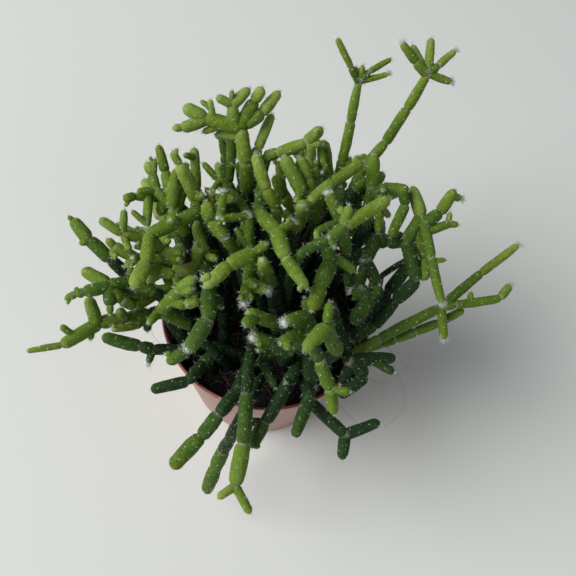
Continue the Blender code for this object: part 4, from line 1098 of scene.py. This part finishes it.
def add_segment(heap, segment, sides, youths, chance, pale):
    """The skin of one segment. It is palest round its root, at the joint."""
    angles = np.arange(sides) * (2 * math.pi / sides)
    outward = np.outer(np.cos(angles), segment.axes[0]) + np.outer(np.sin(angles), segment.axes[1])
    rings = segment.rings()
    places = [segment.centre(segment.before)]
    tints = [(youths[0], 0.0, chance)]
    for reach in rings:
        middle = segment.centre(reach)
        for spot in outward * segment.girth(reach):
            ripple = noise.noise(Vector((middle + spot) * RIPPLE_SCALE))
            places.append(middle + spot * (1 + RIPPLE * ripple))
        share = min(max(reach / segment.length, 0.0), 1.0)
        youth = youths[0] + (youths[1] - youths[0]) * share ** 1.5
        collar = pale * math.exp(-((reach - COLLAR_AT) / COLLAR_WIDTH) ** 2)
        tints += [(youth, collar, chance)] * sides
    places.append(segment.centre(segment.after))
    tints.append((youths[1], 0.0, chance))
    heap.add(places, tube_faces(sides, len(rings)), tints)


def add_areole(heap, place, out, size, white, draw):
    """A low woolly mound, white up to a share."""
    axes = across(out)
    spots = []
    for angle in circle(AREOLE_SIDES):
        angle += draw.uniform(-AREOLE_WOBBLE, AREOLE_WOBBLE)
        reach = size * AREOLE_RADIUS * draw.uniform(*AREOLE_GIRTHS)
        spots.append(place + reach * around(axes, angle) - out * AREOLE_SUNK)
    spots.append(place + out * AREOLE_RISE * size)
    heap.add_wool(spots, spike_faces(AREOLE_SIDES), white * draw.uniform(*AREOLE_WHITE))


def add_bristle(heap, place, out, length, draw, spread, white=1.0):
    """One stiff hair, a thin three-sided spike, tilted at random off the outward direction."""
    turn = any_turn(draw)
    tilt = spread * math.sqrt(draw.random())
    ahead = unit(out + around(across(out), turn) * math.tan(tilt))
    axes = across(ahead)
    corners = [place + BRISTLE_GIRTH / 2 * around(axes, angle) for angle in circle(3)]
    corners.append(place + ahead * length)
    heap.add_wool(corners, spike_faces(3), BRISTLE_WHITE * white, draw.random())


def add_tuft(heap, place, out, count, lengths, radius, draw):
    """A brush of hairs that spreads from a small spot."""
    axes = across(out)
    for _ in range(count):
        angle = any_turn(draw)
        reach = radius * math.sqrt(draw.random())
        root = place + reach * around(axes, angle) - out * HAIR_SUNK
        add_bristle(heap, root, out, draw.uniform(*lengths), draw, TUFT_SPREAD)


def add_big_tuft(heap, place, out, radius, draw):
    """A white tuft with a woolly cushion inside."""
    axes = across(out)
    core = place - UP * TUFT_SUNK
    size = TUFT_CORE * radius
    spots = []
    for layer in range(CORE_LAYERS):
        angle = math.radians(CORE_STEP * layer)
        for turn in circle(CORE_SIDES, 0.5 * layer):
            flat = size * math.cos(angle) * draw.uniform(*CORE_GIRTHS)
            rise = size * math.sin(angle) * draw.uniform(*CORE_RISES)
            spots.append(core + flat * around(axes, turn) + out * rise)
    spots.append(core + out * size)
    heap.add_wool(spots, tube_faces(CORE_SIDES, CORE_LAYERS, low_pole=False), CORE_WHITE)
    add_tuft(heap, place, out, TUFT_BRISTLES, TUFT_LENGTH, TUFT_WIDTH * radius, draw)


def dot_areoles(heap, segment, draw, pitch=AREOLE_PITCH, white=1.0):
    """Areoles in a spiral along a segment."""
    turn = any_turn(draw)
    reach = segment.before + AREOLE_FIRST * segment.dome
    while reach < segment.after - AREOLE_LAST * segment.dome:
        place, out = segment.surface(reach, turn)
        add_areole(heap, place, out, draw.uniform(*AREOLE_SIZE), white, draw)
        for _ in range(draw.randint(*AREOLE_BRISTLES)):
            length = draw.uniform(*BRISTLE_LENGTH)
            add_bristle(heap, place, out, length, draw, AREOLE_SPREAD, white)
        turn += AREOLE_TURN
        reach += pitch * draw.uniform(*AREOLE_PACE)


def add_shoot(heap, start, end, radius, sides, youths, bristles, draw):
    """A whole small segment with its areoles and the bristles at its tip."""
    shoot = Segment(start, end, radius, True)
    add_segment(heap, shoot, sides, youths, draw.random(), BUD_PALE)
    dot_areoles(heap, shoot, draw)
    add_tuft(heap, shoot.centre(shoot.after), shoot.ahead, bristles, BRISTLE_LENGTH,
             TIP_REACH * radius, draw)


def add_bud(heap, segment, youth, draw):
    """A small new segment at the side of a tip."""
    reach = segment.after - segment.dome * draw.uniform(*BUD_DOWN)
    place, out = segment.surface(reach, any_turn(draw))
    ahead = unit(out + segment.ahead * draw.uniform(*BUD_LEAN))
    radius = segment.radius * draw.uniform(*BUD_GIRTH)
    start = place - ahead * 0.5 * radius
    end = start + ahead * draw.uniform(*BUD_LENGTH)
    youths = (youth, youth + BUD_STEP)
    add_shoot(heap, start, end, radius, BUD_SIDES, youths, BUD_BRISTLES, draw)


def add_side_shoot(heap, thicket, segment, youth, draw):
    """A short segment that leaves a joint sideways, clear of the stems that don't meet there."""
    root = segment.centre(segment.length)
    radius = segment.radius * draw.uniform(*SIDE_GIRTH)
    length = draw.uniform(*SIDE_LENGTH)
    others = thicket.gaps(root) > radius
    for _ in range(SIDE_TRIES):
        out = around(segment.axes, any_turn(draw))
        ahead = unit(out + segment.ahead * draw.uniform(*SIDE_LEAN))
        end = root + ahead * (segment.radius + length)
        gap = min(np.min(thicket.gaps(spot)[others]) for spot in (end, (root + end) / 2))
        if gap > radius + SIDE_CLEAR:
            start = root + ahead * (segment.radius * 0.5)
            youths = (youth, youth + SIDE_STEP)
            add_shoot(heap, start, end, radius, FINE_SIDES, youths, TIP_BRISTLES, draw)
            return


def pixel_of(place):
    """Where a point falls in the picture, and how far it lies from the eye."""
    right, up, ahead = view_axes()
    gap = place - VIEW_EYE
    depth = np.dot(gap, ahead)
    return (VIEW_MIDDLE + VIEW_FOCAL * np.dot(gap, right) / depth,
            VIEW_MIDDLE - VIEW_FOCAL * np.dot(gap, up) / depth, depth)


def tuft_joints(thicket):
    """The joint nearest to the eye at each tuft of the picture."""
    young = {end for ends, aged in zip(thicket.ends, thicket.old) if not aged for end in ends}
    spots = [(joint, pixel_of(thicket.joints[joint])) for joint in young]
    chosen = set()
    for pixel_x, pixel_y in TUFTS:
        near = [(depth, joint) for joint, (x, y, depth) in spots
                if math.hypot(x - pixel_x, y - pixel_y) < TUFT_REACH]
        if near:
            chosen.add(min(near)[1])
    return chosen


def stem_youths(thicket, stem, draw):
    """How young each bit of a stem is at its root and at its end, from 0 to 1."""
    name, youth = thicket.stems[stem]
    youths = {}
    for number, bits in enumerate(thicket.branches[stem]):
        aged = sum(thicket.old[bit] for bit in bits)
        for order, bit in enumerate(bits):
            if thicket.old[bit]:
                share = order / aged
                level = TRUNK_YOUTH * youth * share ** 3
                # Painted shade: darker towards the trunk's foot, deep in the thicket
                if name not in DARK_ROOTS:
                    level -= TRUNK_FOOT_SHADE * (1 - share)
                youths[bit] = (level, level + TRUNK_STEP)
                continue
            share = (order - aged + 1) / (len(bits) - aged)
            if name in DARK_ROOTS and number == 0:
                level = ROOT_YOUTH + (youth - ROOT_FADE) * share ** 3
                level += draw.uniform(-ROOT_SPREAD, ROOT_SPREAD)
            else:
                level = LEAST_YOUTH + youth * (YOUTH_SHARES[0] + YOUTH_SHARES[1] * share)
                level += draw.uniform(*YOUTH_SPREAD)
                level += TONE_SHIFTS.get(name, 0.0)
            lift = TIP_LIFT if bit == bits[-1] else BIT_LIFT
            youths[bit] = (level, level + lift * (LIFT_SHARES[0] + LIFT_SHARES[1] * youth))
    return youths


def split_points(thicket, bit, name, draw):
    """The points that cut one bit into the shorter segments of the real stem."""
    first, last = (thicket.joints[end] for end in thicket.ends[bit])
    thin = name in LONG_SHOOTS or 2 * thicket.radii[bit] < SHOOT_GIRTH
    count = max(1, round(np.linalg.norm(last - first) / (SHOOT_SPLIT if thin else SPLIT_LENGTH)))
    axes = across(unit(last - first))
    points = [first]
    for step in range(1, count):
        share = step / count * draw.uniform(*SPLIT_SPAN)
        shift = SPLIT_SHIFT * around(axes, any_turn(draw))
        points.append(first + (last - first) * share + shift)
    return points + [last]


def make_stem(thicket, stem, tufted):
    """One rooted stem with all its segments, areoles, bristles and tufts."""
    name = thicket.stems[stem][0]
    draw, bud_draw, side_draw = (random.Random(seed * 1000 + stem)
                                 for seed in (STEM_SEED, BUD_SEED, SIDE_SEED))
    youths = stem_youths(thicket, stem, draw)
    smooth = name in SMOOTH_TIPS
    heap = Heap()
    for bit in sum(thicket.branches[stem], []):
        first, last = thicket.ends[bit]
        free = bit in [bits[-1] for bits in thicket.branches[stem]]
        old = thicket.old[bit]
        points = split_points(thicket, bit, name, draw)
        low, high = youths[bit]
        step = (high - low) / (len(points) - 1)
        for part, (start, end) in enumerate(zip(points, points[1:])):
            length = np.linalg.norm(end - start)
            axes = across(unit(end - start))
            turn = any_turn(draw)
            bow = min(BOW_MOST, BOW_SHARE * length) * draw.uniform(*BOW_SPREAD) * around(axes, turn)
            tip = free and part == len(points) - 2
            taper = draw.uniform(*(TIP_TAPER if tip else TAPER))
            radius = thicket.radii[bit] * FINE_SWELL * draw.uniform(*FINE_SPREAD)
            if tip and length < STUB_LENGTH * radius:
                radius *= STUB_GIRTH
            segment = Segment(start, end, radius, tip, bow, taper)
            chance = draw.random()
            ages = (low + step * part, low + step * (part + 1))
            if old:
                add_segment(heap, segment, TRUNK_FINE_SIDES, ages, chance, TRUNK_PALE * chance)
                dot_areoles(heap, segment, draw, TRUNK_AREOLE_PITCH, 0.0)
                continue
            add_segment(heap, segment, FINE_SIDES, ages, chance, COLLAR_PALE * chance)
            dot_areoles(heap, segment, draw)
            for _ in range(JOINT_BRISTLES):
                place, out = segment.surface(JOINT_BRISTLES_AT, any_turn(draw))
                add_bristle(heap, place, out, draw.uniform(*BRISTLE_LENGTH), draw, JOINT_SPREAD)
            if not (tip or smooth) and side_draw.random() < SIDE_SHARE:
                add_side_shoot(heap, thicket, segment, high, side_draw)
        place, out = segment.centre(segment.after), segment.ahead
        radius = segment.radius * segment.taper
        if last in tufted:
            add_big_tuft(heap, place, unit(out + UP), radius, draw)
        elif free:
            add_tuft(heap, place, out, TIP_BRISTLES, BRISTLE_LENGTH, TIP_REACH * radius, draw)
        if free and not (old or smooth):
            for _ in range(bud_draw.choice(BUD_COUNTS)):
                add_bud(heap, segment, high, bud_draw)
        if first in tufted and bit in [bits[0] for bits in thicket.branches[stem]]:
            add_big_tuft(heap, thicket.joints[first] + UP * radius, UP, radius, draw)
    return heap.piece("plant_" + name)


class Look:
    """A material, with short ways to add nodes to it."""

    def __init__(self, name, colour, roughness):
        self.made = bpy.data.materials.new(name)
        self.made.use_nodes = True
        self.made.diffuse_color = (*colour, 1.0)
        self.set({"Base Color": colour, "Roughness": roughness})

    def set(self, inputs):
        """Settings of the surface itself."""
        self.fill(self.made.node_tree.nodes["Principled BSDF"], inputs)

    def fill(self, node, inputs):
        """Each input takes another node's output, or else a plain number or colour."""
        for key, value in inputs.items():
            socket = node.inputs[key]
            if isinstance(value, bpy.types.NodeSocket):
                self.made.node_tree.links.new(value, socket)
            elif isinstance(value, tuple):
                socket.default_value = (*value, 1.0)[:len(socket.default_value)]
            else:
                socket.default_value = value

    def node(self, kind, inputs, output=0, **settings):
        """A new node's output, or all of its outputs where output is None."""
        node = self.made.node_tree.nodes.new("ShaderNode" + kind)
        for key, value in settings.items():
            setattr(node, key, value)
        self.fill(node, inputs)
        return node.outputs if output is None else node.outputs[output]

    def coords(self):
        """The point's own place, in metres."""
        return self.node("TexCoord", {}, "Object")

    def growth(self):
        """The mesh's tints: youth, paleness and chance."""
        tint = self.node("Attribute", {}, "Color", attribute_name="growth")
        return self.node("SeparateColor", {"Color": tint}, None)

    def noise(self, scale, detail=3.0, roughness=0.55):
        return self.node("TexNoise", {"Vector": self.coords(), "Scale": scale, "Detail": detail,
                                      "Roughness": roughness}, "Fac")

    def math(self, operation, *values, clamp=False):
        return self.node("Math", dict(enumerate(values)), operation=operation, use_clamp=clamp)

    def scaled(self, source, factor, offset):
        """The source times a factor, plus an offset."""
        return self.math("MULTIPLY_ADD", source, factor, offset)

    def span(self, source, low, high, top=1.0):
        """0 to top as the source goes from low to high."""
        return self.node("MapRange", {"Value": source, "From Min": low, "From Max": high,
                                      "To Max": top})

    def mixed(self, share, one, two):
        """Colour one where share is 0, and colour two where it is 1."""
        return self.node("Mix", {0: share, 6: one, 7: two}, 2, data_type="RGBA")

    def ramp(self, share, stops):
        colour = self.node("ValToRGB", {"Fac": share})
        band = colour.node.color_ramp
        while len(band.elements) < len(stops):
            band.elements.new(0.5)
        for element, (place, tint) in zip(band.elements, stops):
            element.position = place
            element.color = (*tint, 1.0)
        return colour

    def bump(self, height, strength, distance):
        self.set({"Normal": self.node("Bump", {"Height": height, "Strength": strength,
                                               "Distance": distance}, "Normal")})


def skin_look():
    """Green skin, by age: dusty blue-green when old, olive, then bright yellow-green, and near-black
    where trunks are painted dark as shade.
    """
    look = Look("Rhipsalis skin", (0.1, 0.2, 0.04), 0.45)
    youth, pale, chance = look.growth()
    mottle = look.noise(620.0, 4.0, 0.65)
    grain = look.noise(1500.0, 4.0, 0.7)
    age = look.math("ADD", youth, look.scaled(look.noise(240.0), 0.22, -0.11))
    age = look.math("ADD", age, look.scaled(chance, 0.12, -0.06), clamp=True)
    age = look.math("ADD", age, look.scaled(mottle, 0.55, -0.275), clamp=True)
    fresh = look.math("MULTIPLY", look.scaled(chance, 0.9, -0.3), age, clamp=True)
    colour = look.mixed(fresh, look.ramp(age, SKIN_STOPS), SKIN_FRESH)
    bloom, fading = look.scaled(grain, 1.6, -0.55), look.scaled(age, -0.9, 0.5)
    bloom = look.math("MULTIPLY", bloom, fading, clamp=True)
    # Less bloom where a trunk is painted dark as shade
    bloom = look.math("MULTIPLY", bloom, look.scaled(youth, 1 / TRUNK_FOOT_SHADE, 1.0), clamp=True)
    colour = look.mixed(bloom, colour, SKIN_BLOOM)
    dots = look.node("TexVoronoi", {"Vector": look.coords(), "Scale": 820.0}, "Distance")
    colour = look.mixed(look.span(dots, 0.2, 0.1, 0.45), colour, SKIN_DOT)
    colour = look.mixed(pale, colour, SKIN_COLLAR)
    look.bump(look.math("ADD", grain, look.scaled(mottle, 1.6, 0.0)), 0.55, 0.0006)
    look.set({"Base Color": colour, "Roughness": look.scaled(grain, 0.4, 0.32),
              "Subsurface Weight": 0.1, "Subsurface Radius": (0.6, 1.0, 0.2),
              "Subsurface Scale": 0.002, "Specular IOR Level": 0.12})
    return look.made


def wool_look():
    """Pale wool of the areoles and bristles."""
    look = Look("Rhipsalis wool", (0.72, 0.74, 0.62), 0.8)
    look.set({"Base Color": look.mixed(look.growth()[1], WOOL_DULL, WOOL_BRIGHT),
              "Subsurface Weight": 0.8, "Subsurface Radius": (1.0, 1.0, 1.0),
              "Subsurface Scale": 0.0006})
    return look.made


def pot_look():
    """Matte moulded plastic, dusty on the wall and deeper red at the lip, and painted near-black inside
    the wall as painted shade.
    """
    look = Look("Dusty pot plastic", POT_DUSTY, 0.5)
    coords = look.coords()
    height = look.node("SeparateXYZ", {"Vector": coords}, "Z")
    dust = look.noise(90.0, 5.0, 0.65)
    fine = look.noise(1800.0, 3.0, 0.6)
    colour = look.mixed(look.scaled(dust, 0.9, -0.1), POT_DUSTY, POT_DUSTIER)
    colour = look.mixed(look.scaled(fine, 0.4, -0.1), colour, POT_GRAINY)
    # Deeper red in a thin band at the top of the lip
    lip = look.span(height, *((POT_HEIGHT - down) * MM for down in DEEP_LIP_BAND))
    colour = look.mixed(lip, colour, POT_DEEP)
    # Painted shade: the inside of the pot's wall is painted near-black
    flat = look.node("VectorMath", {0: coords, 1: (1.0, 1.0, 0.0)}, operation="MULTIPLY")
    away = look.node("VectorMath", {0: flat}, "Value", operation="LENGTH")
    wall = look.scaled(height, (RIM_RADIUS - BASE_RADIUS) / POT_HEIGHT, (BASE_RADIUS - WALL) * MM)
    inner_shade = look.span(look.math("SUBTRACT", away, wall), 0.0, -INNER_SHADE_FADE * MM)
    look.bump(fine, 0.12, 0.0002)
    look.set({"Base Color": look.mixed(inner_shade, colour, POT_INNER_SHADE),
              "Roughness": look.scaled(dust, 0.3, 0.38),
              "Subsurface Weight": 0.08, "Subsurface Scale": 0.002})
    return look.made


def soil_look():
    """Dark peat, darkened further to near-black as painted shade under the stems."""
    look = Look("Dark peat", SOIL_DARK, 0.95)
    clumps = look.noise(420.0, 6.0, 0.7)
    grit = look.noise(2600.0, 3.0, 0.6)
    clumpy, gritty = look.scaled(clumps, 2.4, -0.9), look.scaled(grit, 1.8, -0.3)
    share = look.math("MULTIPLY", clumpy, gritty, clamp=True)
    look.bump(clumps, 0.6, 0.0008)
    look.set({"Base Color": look.mixed(share, SOIL_DARK, SOIL_LIGHT)})
    return look.made


def fibre_look():
    """Dry root fibres."""
    look = Look("Root fibre", FIBRE_COLOUR, 0.8)
    share = look.scaled(look.noise(160.0), 1.6, -0.3)
    look.set({"Base Color": look.mixed(share, FIBRE_DARK, FIBRE_LIGHT)})
    return look.made


def wall_at(height):
    """The radius of the pot's outer wall under its band at a height."""
    return BASE_RADIUS + WALL_SLOPE * height


def fine_pot_profile():
    """The pot's section, from the middle of its underside out and up to the middle of its floor.

    It has a stepped foot, a moulded band and a rounded lip.
    """
    under = POT_HEIGHT - BAND_HEIGHT
    lip = WALL / 2
    band_out = wall_at(under) + BAND_STEP
    outside = [
        (0.0, BASE_HOLLOW),
        (BASE_RADIUS - BASE_RING - 0.5, BASE_HOLLOW),
        (BASE_RADIUS - BASE_RING, 0.0),
        (BASE_RADIUS - BASE_CHAMFER_IN, 0.0),
        (BASE_RADIUS - BASE_CHAMFER_IN + 0.4, 0.3),
        (wall_at(1.2) - 0.25, 1.2),
        (wall_at(BASE_CHAMFER), BASE_CHAMFER),
        (wall_at(BASE_CHAMFER + 6.0), BASE_CHAMFER + 6.0),
        (wall_at(under), under - 0.5),
        (wall_at(under) + 0.25, under + 0.1),
        (band_out - 0.15, under + BAND_CHAMFER - 0.3),
        (band_out + 0.1, under + BAND_CHAMFER + 0.6),
        (RIM_RADIUS - 0.35, POT_HEIGHT - 2.0),
        (RIM_RADIUS - 0.15, POT_HEIGHT - 1.6),
    ]
    rounding = [
        (RIM_RADIUS - lip + lip * math.cos(angle), POT_HEIGHT - lip + lip * math.sin(angle))
        for angle in circle(2 * LIP_STEPS)[:LIP_STEPS + 1]
    ]
    inside = [
        (band_out - WALL, under + BAND_INSIDE_RISE),
        (wall_at(under) + 0.4 - WALL, under + 0.8),
        (wall_at(under) - WALL, under - 0.3),
        (wall_at(CORNER_RISE + 1.0) - WALL, CORNER_RISE + 1.0),
        (wall_at(CORNER_RISE) - WALL - 0.2, CORNER_RISE - 0.8),
        (BASE_RADIUS - WALL - CORNER_IN, FLOOR),
        (0.0, FLOOR),
    ]
    return outside + rounding + inside


def make_pot():
    """The pot, turned round the Z axis from its section, with its drain holes cut."""
    (_, underside), *section, (_, floor) = fine_pot_profile()
    places = [UP * underside]
    for radius, height in section:
        places += ring(radius, height, POT_FINE_SIDES)
    places.append(UP * floor)
    faces = tube_faces(POT_FINE_SIDES, len(section))
    item = linked("nursery_pot", plain_mesh("nursery_pot", places, faces))
    places = []
    faces = []
    for turn in circle(DRAIN_COUNT, 0.5):
        faces += [tuple(len(places) + corner for corner in face)
                  for face in tube_faces(DRAIN_SIDES, 2, False, False)]
        for height in (-DRAIN_PAST, FLOOR + DRAIN_PAST):
            places += [DRAIN_CIRCLE * ray(turn) + spot
                       for spot in ring(DRAIN_RADIUS, height, DRAIN_SIDES)]
    cutter = linked("drains", plain_mesh("drains", places, faces))
    cut = item.modifiers.new("Drains", "BOOLEAN")
    cut.operation = "DIFFERENCE"
    cut.object = cutter
    cut.solver = "EXACT"
    graph = bpy.context.evaluated_depsgraph_get()
    mesh = bpy.data.meshes.new_from_object(item.evaluated_get(graph))
    item.modifiers.clear()
    item.data = mesh
    bpy.data.objects.remove(cutter, do_unlink=True)
    mesh.polygons.foreach_set("use_smooth", [True] * len(mesh.polygons))
    mesh.set_sharp_from_angle(angle=SHARP_FROM)
    return item


def soil_spot(reach, angle):
    """A point of the soil's uneven, rough top."""
    flat = reach * ray(angle)
    wave = sum(math.sin(count * angle + turn + reach * twist) * height
               for count, turn, twist, height in SOIL_WAVES)
    level = SOIL_TOP + SOIL_BUMP * wave * min(1.0, reach / SOIL_CALM)
    rough = SOIL_ROUGH * noise.fractal(Vector(flat) * SOIL_GRAIN, *SOIL_FRACTAL)
    return flat + UP * (level + rough)


def make_soil():
    """The plug of soil with a crumbly top."""
    slack = WALL + SOIL_GAP + SOIL_EDGE_SLACK
    underside = FLOOR + SOIL_GAP
    edge = wall_at(SOIL_TOP) - slack
    places = [UP * underside]
    for radius, height in ((wall_at(0.0) - slack - SOIL_CORNER_IN, underside),
                           (wall_at(SOIL_CORNER_RISE) - slack, SOIL_CORNER_RISE),
                           (wall_at(SOIL_TOP / 2) - slack, SOIL_TOP / 2),
                           (edge - SOIL_EDGE_IN, SOIL_TOP - SOIL_EDGE_DOWN)):
        places += ring(radius, height, SOIL_FINE_SIDES)
    for step in range(SOIL_FINE_RINGS):
        reach = (edge - 2 * SOIL_EDGE_IN) * (1 - step / SOIL_FINE_RINGS)
        places += [soil_spot(reach, angle) for angle in circle(SOIL_FINE_SIDES)]
    places.append(soil_spot(0.0, 0.0))
    heap = Heap()
    heap.add(places, tube_faces(SOIL_FINE_SIDES, SOIL_FINE_RINGS + 4), (0.0, 0.0, 0.5))
    return heap.piece("peat")


def make_crumbs():
    """Loose crumbs of peat on the soil."""
    draw = random.Random(SOIL_SEED)
    heap = Heap()
    edge = wall_at(SOIL_TOP) - WALL - SOIL_GAP - CRUMB_EDGE
    for _ in range(CRUMB_COUNT):
        reach = edge * math.sqrt(draw.random())
        angle = any_turn(draw)
        size = draw.uniform(*CRUMB_SIZE)
        centre = soil_spot(reach, angle) + UP * size * CRUMB_LIFT
        spots = [centre - UP * size * CRUMB_POLE]
        for layer in CRUMB_LAYERS:
            for turn in circle(CRUMB_SIDES, layer):
                flat = math.sqrt(1 - layer ** 2) * size * draw.uniform(*CRUMB_GIRTHS)
                spots.append(centre + flat * ray(turn) + UP * layer * size * CRUMB_LOW)
        spots.append(centre + UP * size * CRUMB_POLE)
        faces = tube_faces(CRUMB_SIDES, len(CRUMB_LAYERS))
        heap.add(spots, faces, (0.0, 0.0, draw.random()))
    return heap.piece("peat_crumbs")


def smooth_line(points, steps):
    """A Catmull-Rom line through points."""
    ends = [2 * points[0] - points[1]] + list(points) + [2 * points[-1] - points[-2]]
    line = []
    for one, two, three, four in zip(ends, ends[1:], ends[2:], ends[3:]):
        for step in range(steps):
            t = step / steps
            line.append(0.5 * (2 * two + (three - one) * t
                               + (2 * one - 5 * two + 4 * three - four) * t ** 2
                               + (3 * two - one - 3 * three + four) * t ** 3))
    line.append(points[-1])
    return line


def add_fibre(heap, line, girth, chance):
    """A thin square tube along a line, thinner towards its end."""
    places = []
    for number, spot in enumerate(line):
        before, after = line[max(number - 1, 0)], line[min(number + 1, len(line) - 1)]
        axes = across(unit(after - before))
        radius = girth / 2 * (1 - FIBRE_THINNING * number / (len(line) - 1))
        places += [spot + radius * around(axes, angle) for angle in circle(4)]
    heap.add(places, tube_faces(4, len(line), False, False), (0.0, 0.0, chance))


def make_soil_fibres():
    """Root fibres that lie over the soil."""
    draw = random.Random(SOIL_SEED + 1)
    heap = Heap()
    edge = wall_at(SOIL_TOP) - WALL - SOIL_GAP - FIBRE_EDGE
    for _ in range(FIBRE_COUNT):
        reach = edge * math.sqrt(draw.random())
        angle = any_turn(draw)
        heading = any_turn(draw)
        spot = reach * ray(angle)
        points = []
        for _ in range(draw.randint(*FIBRE_POINTS)):
            away = math.hypot(spot[0], spot[1])
            if away > edge:
                break
            soil = soil_spot(away, math.atan2(spot[1], spot[0]))
            points.append(soil + UP * draw.uniform(*FIBRE_RISE))
            heading += draw.uniform(-FIBRE_TURN, FIBRE_TURN)
            spot = spot + FIBRE_STEP * ray(heading)
        if len(points) > 2:
            points[0] = points[0] - UP * FIBRE_SUNK
            girth = FIBRE_GIRTH * draw.uniform(*FIBRE_GIRTHS)
            add_fibre(heap, smooth_line(points, 4), girth, draw.random())
    return heap.piece("soil_fibres")


def make_loose_fibres():
    """Root fibres that have come out over the rim."""
    heap = Heap()
    for route in LOOSE_FIBRES:
        add_fibre(heap, smooth_line([seen(*spot) for spot in route], 8), LOOSE_FIBRE_GIRTH, 0.5)
    return heap.piece("loose_fibres")


def make_floor():
    """A wide pale floor."""
    corners = [FLOOR_REACH * np.array([x, y, 0.0])
               for x, y in ((-1, -1), (1, -1), (1, 1), (-1, 1))]
    floor = linked("floor", plain_mesh("floor", corners, [(0, 1, 2, 3)]))
    floor.data.materials.append(Look("Pale floor", FLOOR_COLOUR, 0.75).made)


def area_light(name, place, size, power, colour):
    """A round light at a place in metres, facing the crown."""
    lamp = bpy.data.lights.new(name, "AREA")
    lamp.shape = "DISK"
    lamp.size = size
    lamp.energy = power
    lamp.color = colour
    item = linked(name, lamp)
    item.location = place
    item.rotation_euler = (Vector(CROWN) - Vector(place)).to_track_quat("-Z", "Y").to_euler()


def make_lights():
    """Soft daylight from the upper left, with a weak fill."""
    area_light("window", (-1.7, -0.5, 1.75), size=2.1, power=66.0, colour=(1.0, 1.0, 0.98))
    area_light("fill", (0.75, -0.55, 0.75), size=0.9, power=1.2, colour=(0.93, 0.965, 1.0))
    world = bpy.data.worlds.new("Soft sky")
    world.use_nodes = True
    sky = world.node_tree.nodes["Background"]
    sky.inputs["Color"].default_value = (0.93, 0.97, 1.0, 1.0)
    sky.inputs["Strength"].default_value = 0.18
    bpy.context.scene.world = world


def make_camera():
    """The camera that the stems' routes are read through."""
    right, up, ahead = view_axes()
    data = bpy.data.cameras.new("view")
    data.sensor_width = 36.0
    data.lens = VIEW_FOCAL / (2 * VIEW_MIDDLE) * data.sensor_width
    data.clip_start = 0.01
    camera = linked("view", data)
    facing = Matrix(np.column_stack([right, up, -ahead]).tolist()).to_4x4()
    camera.matrix_world = Matrix.Translation(Vector(VIEW_EYE * MM)) @ facing
    bpy.context.scene.camera = camera


def dress(piece, materials, node=None):
    """Give a piece its materials and its body, and hide the solid that it stands for."""
    for made in materials:
        piece.data.materials.append(made)
    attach(piece, "root")
    if node:
        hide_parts(node)


def main():
    thicket = plant()
    settle(thicket)
    tufted = tuft_joints(thicket)
    skin, wool = skin_look(), wool_look()
    for stem, (name, youth) in enumerate(thicket.stems):
        dress(make_stem(thicket, stem, tufted), [skin, wool], "stem_" + name)
    peat, fibre = soil_look(), fibre_look()
    dress(make_pot(), [pot_look()], "pot")
    dress(make_soil(), [peat], "soil")
    dress(make_crumbs(), [peat])
    dress(make_soil_fibres(), [fibre])
    dress(make_loose_fibres(), [fibre])
    make_floor()
    make_lights()
    make_camera()
    bpy.context.scene.view_settings.view_transform = "Standard"


main()
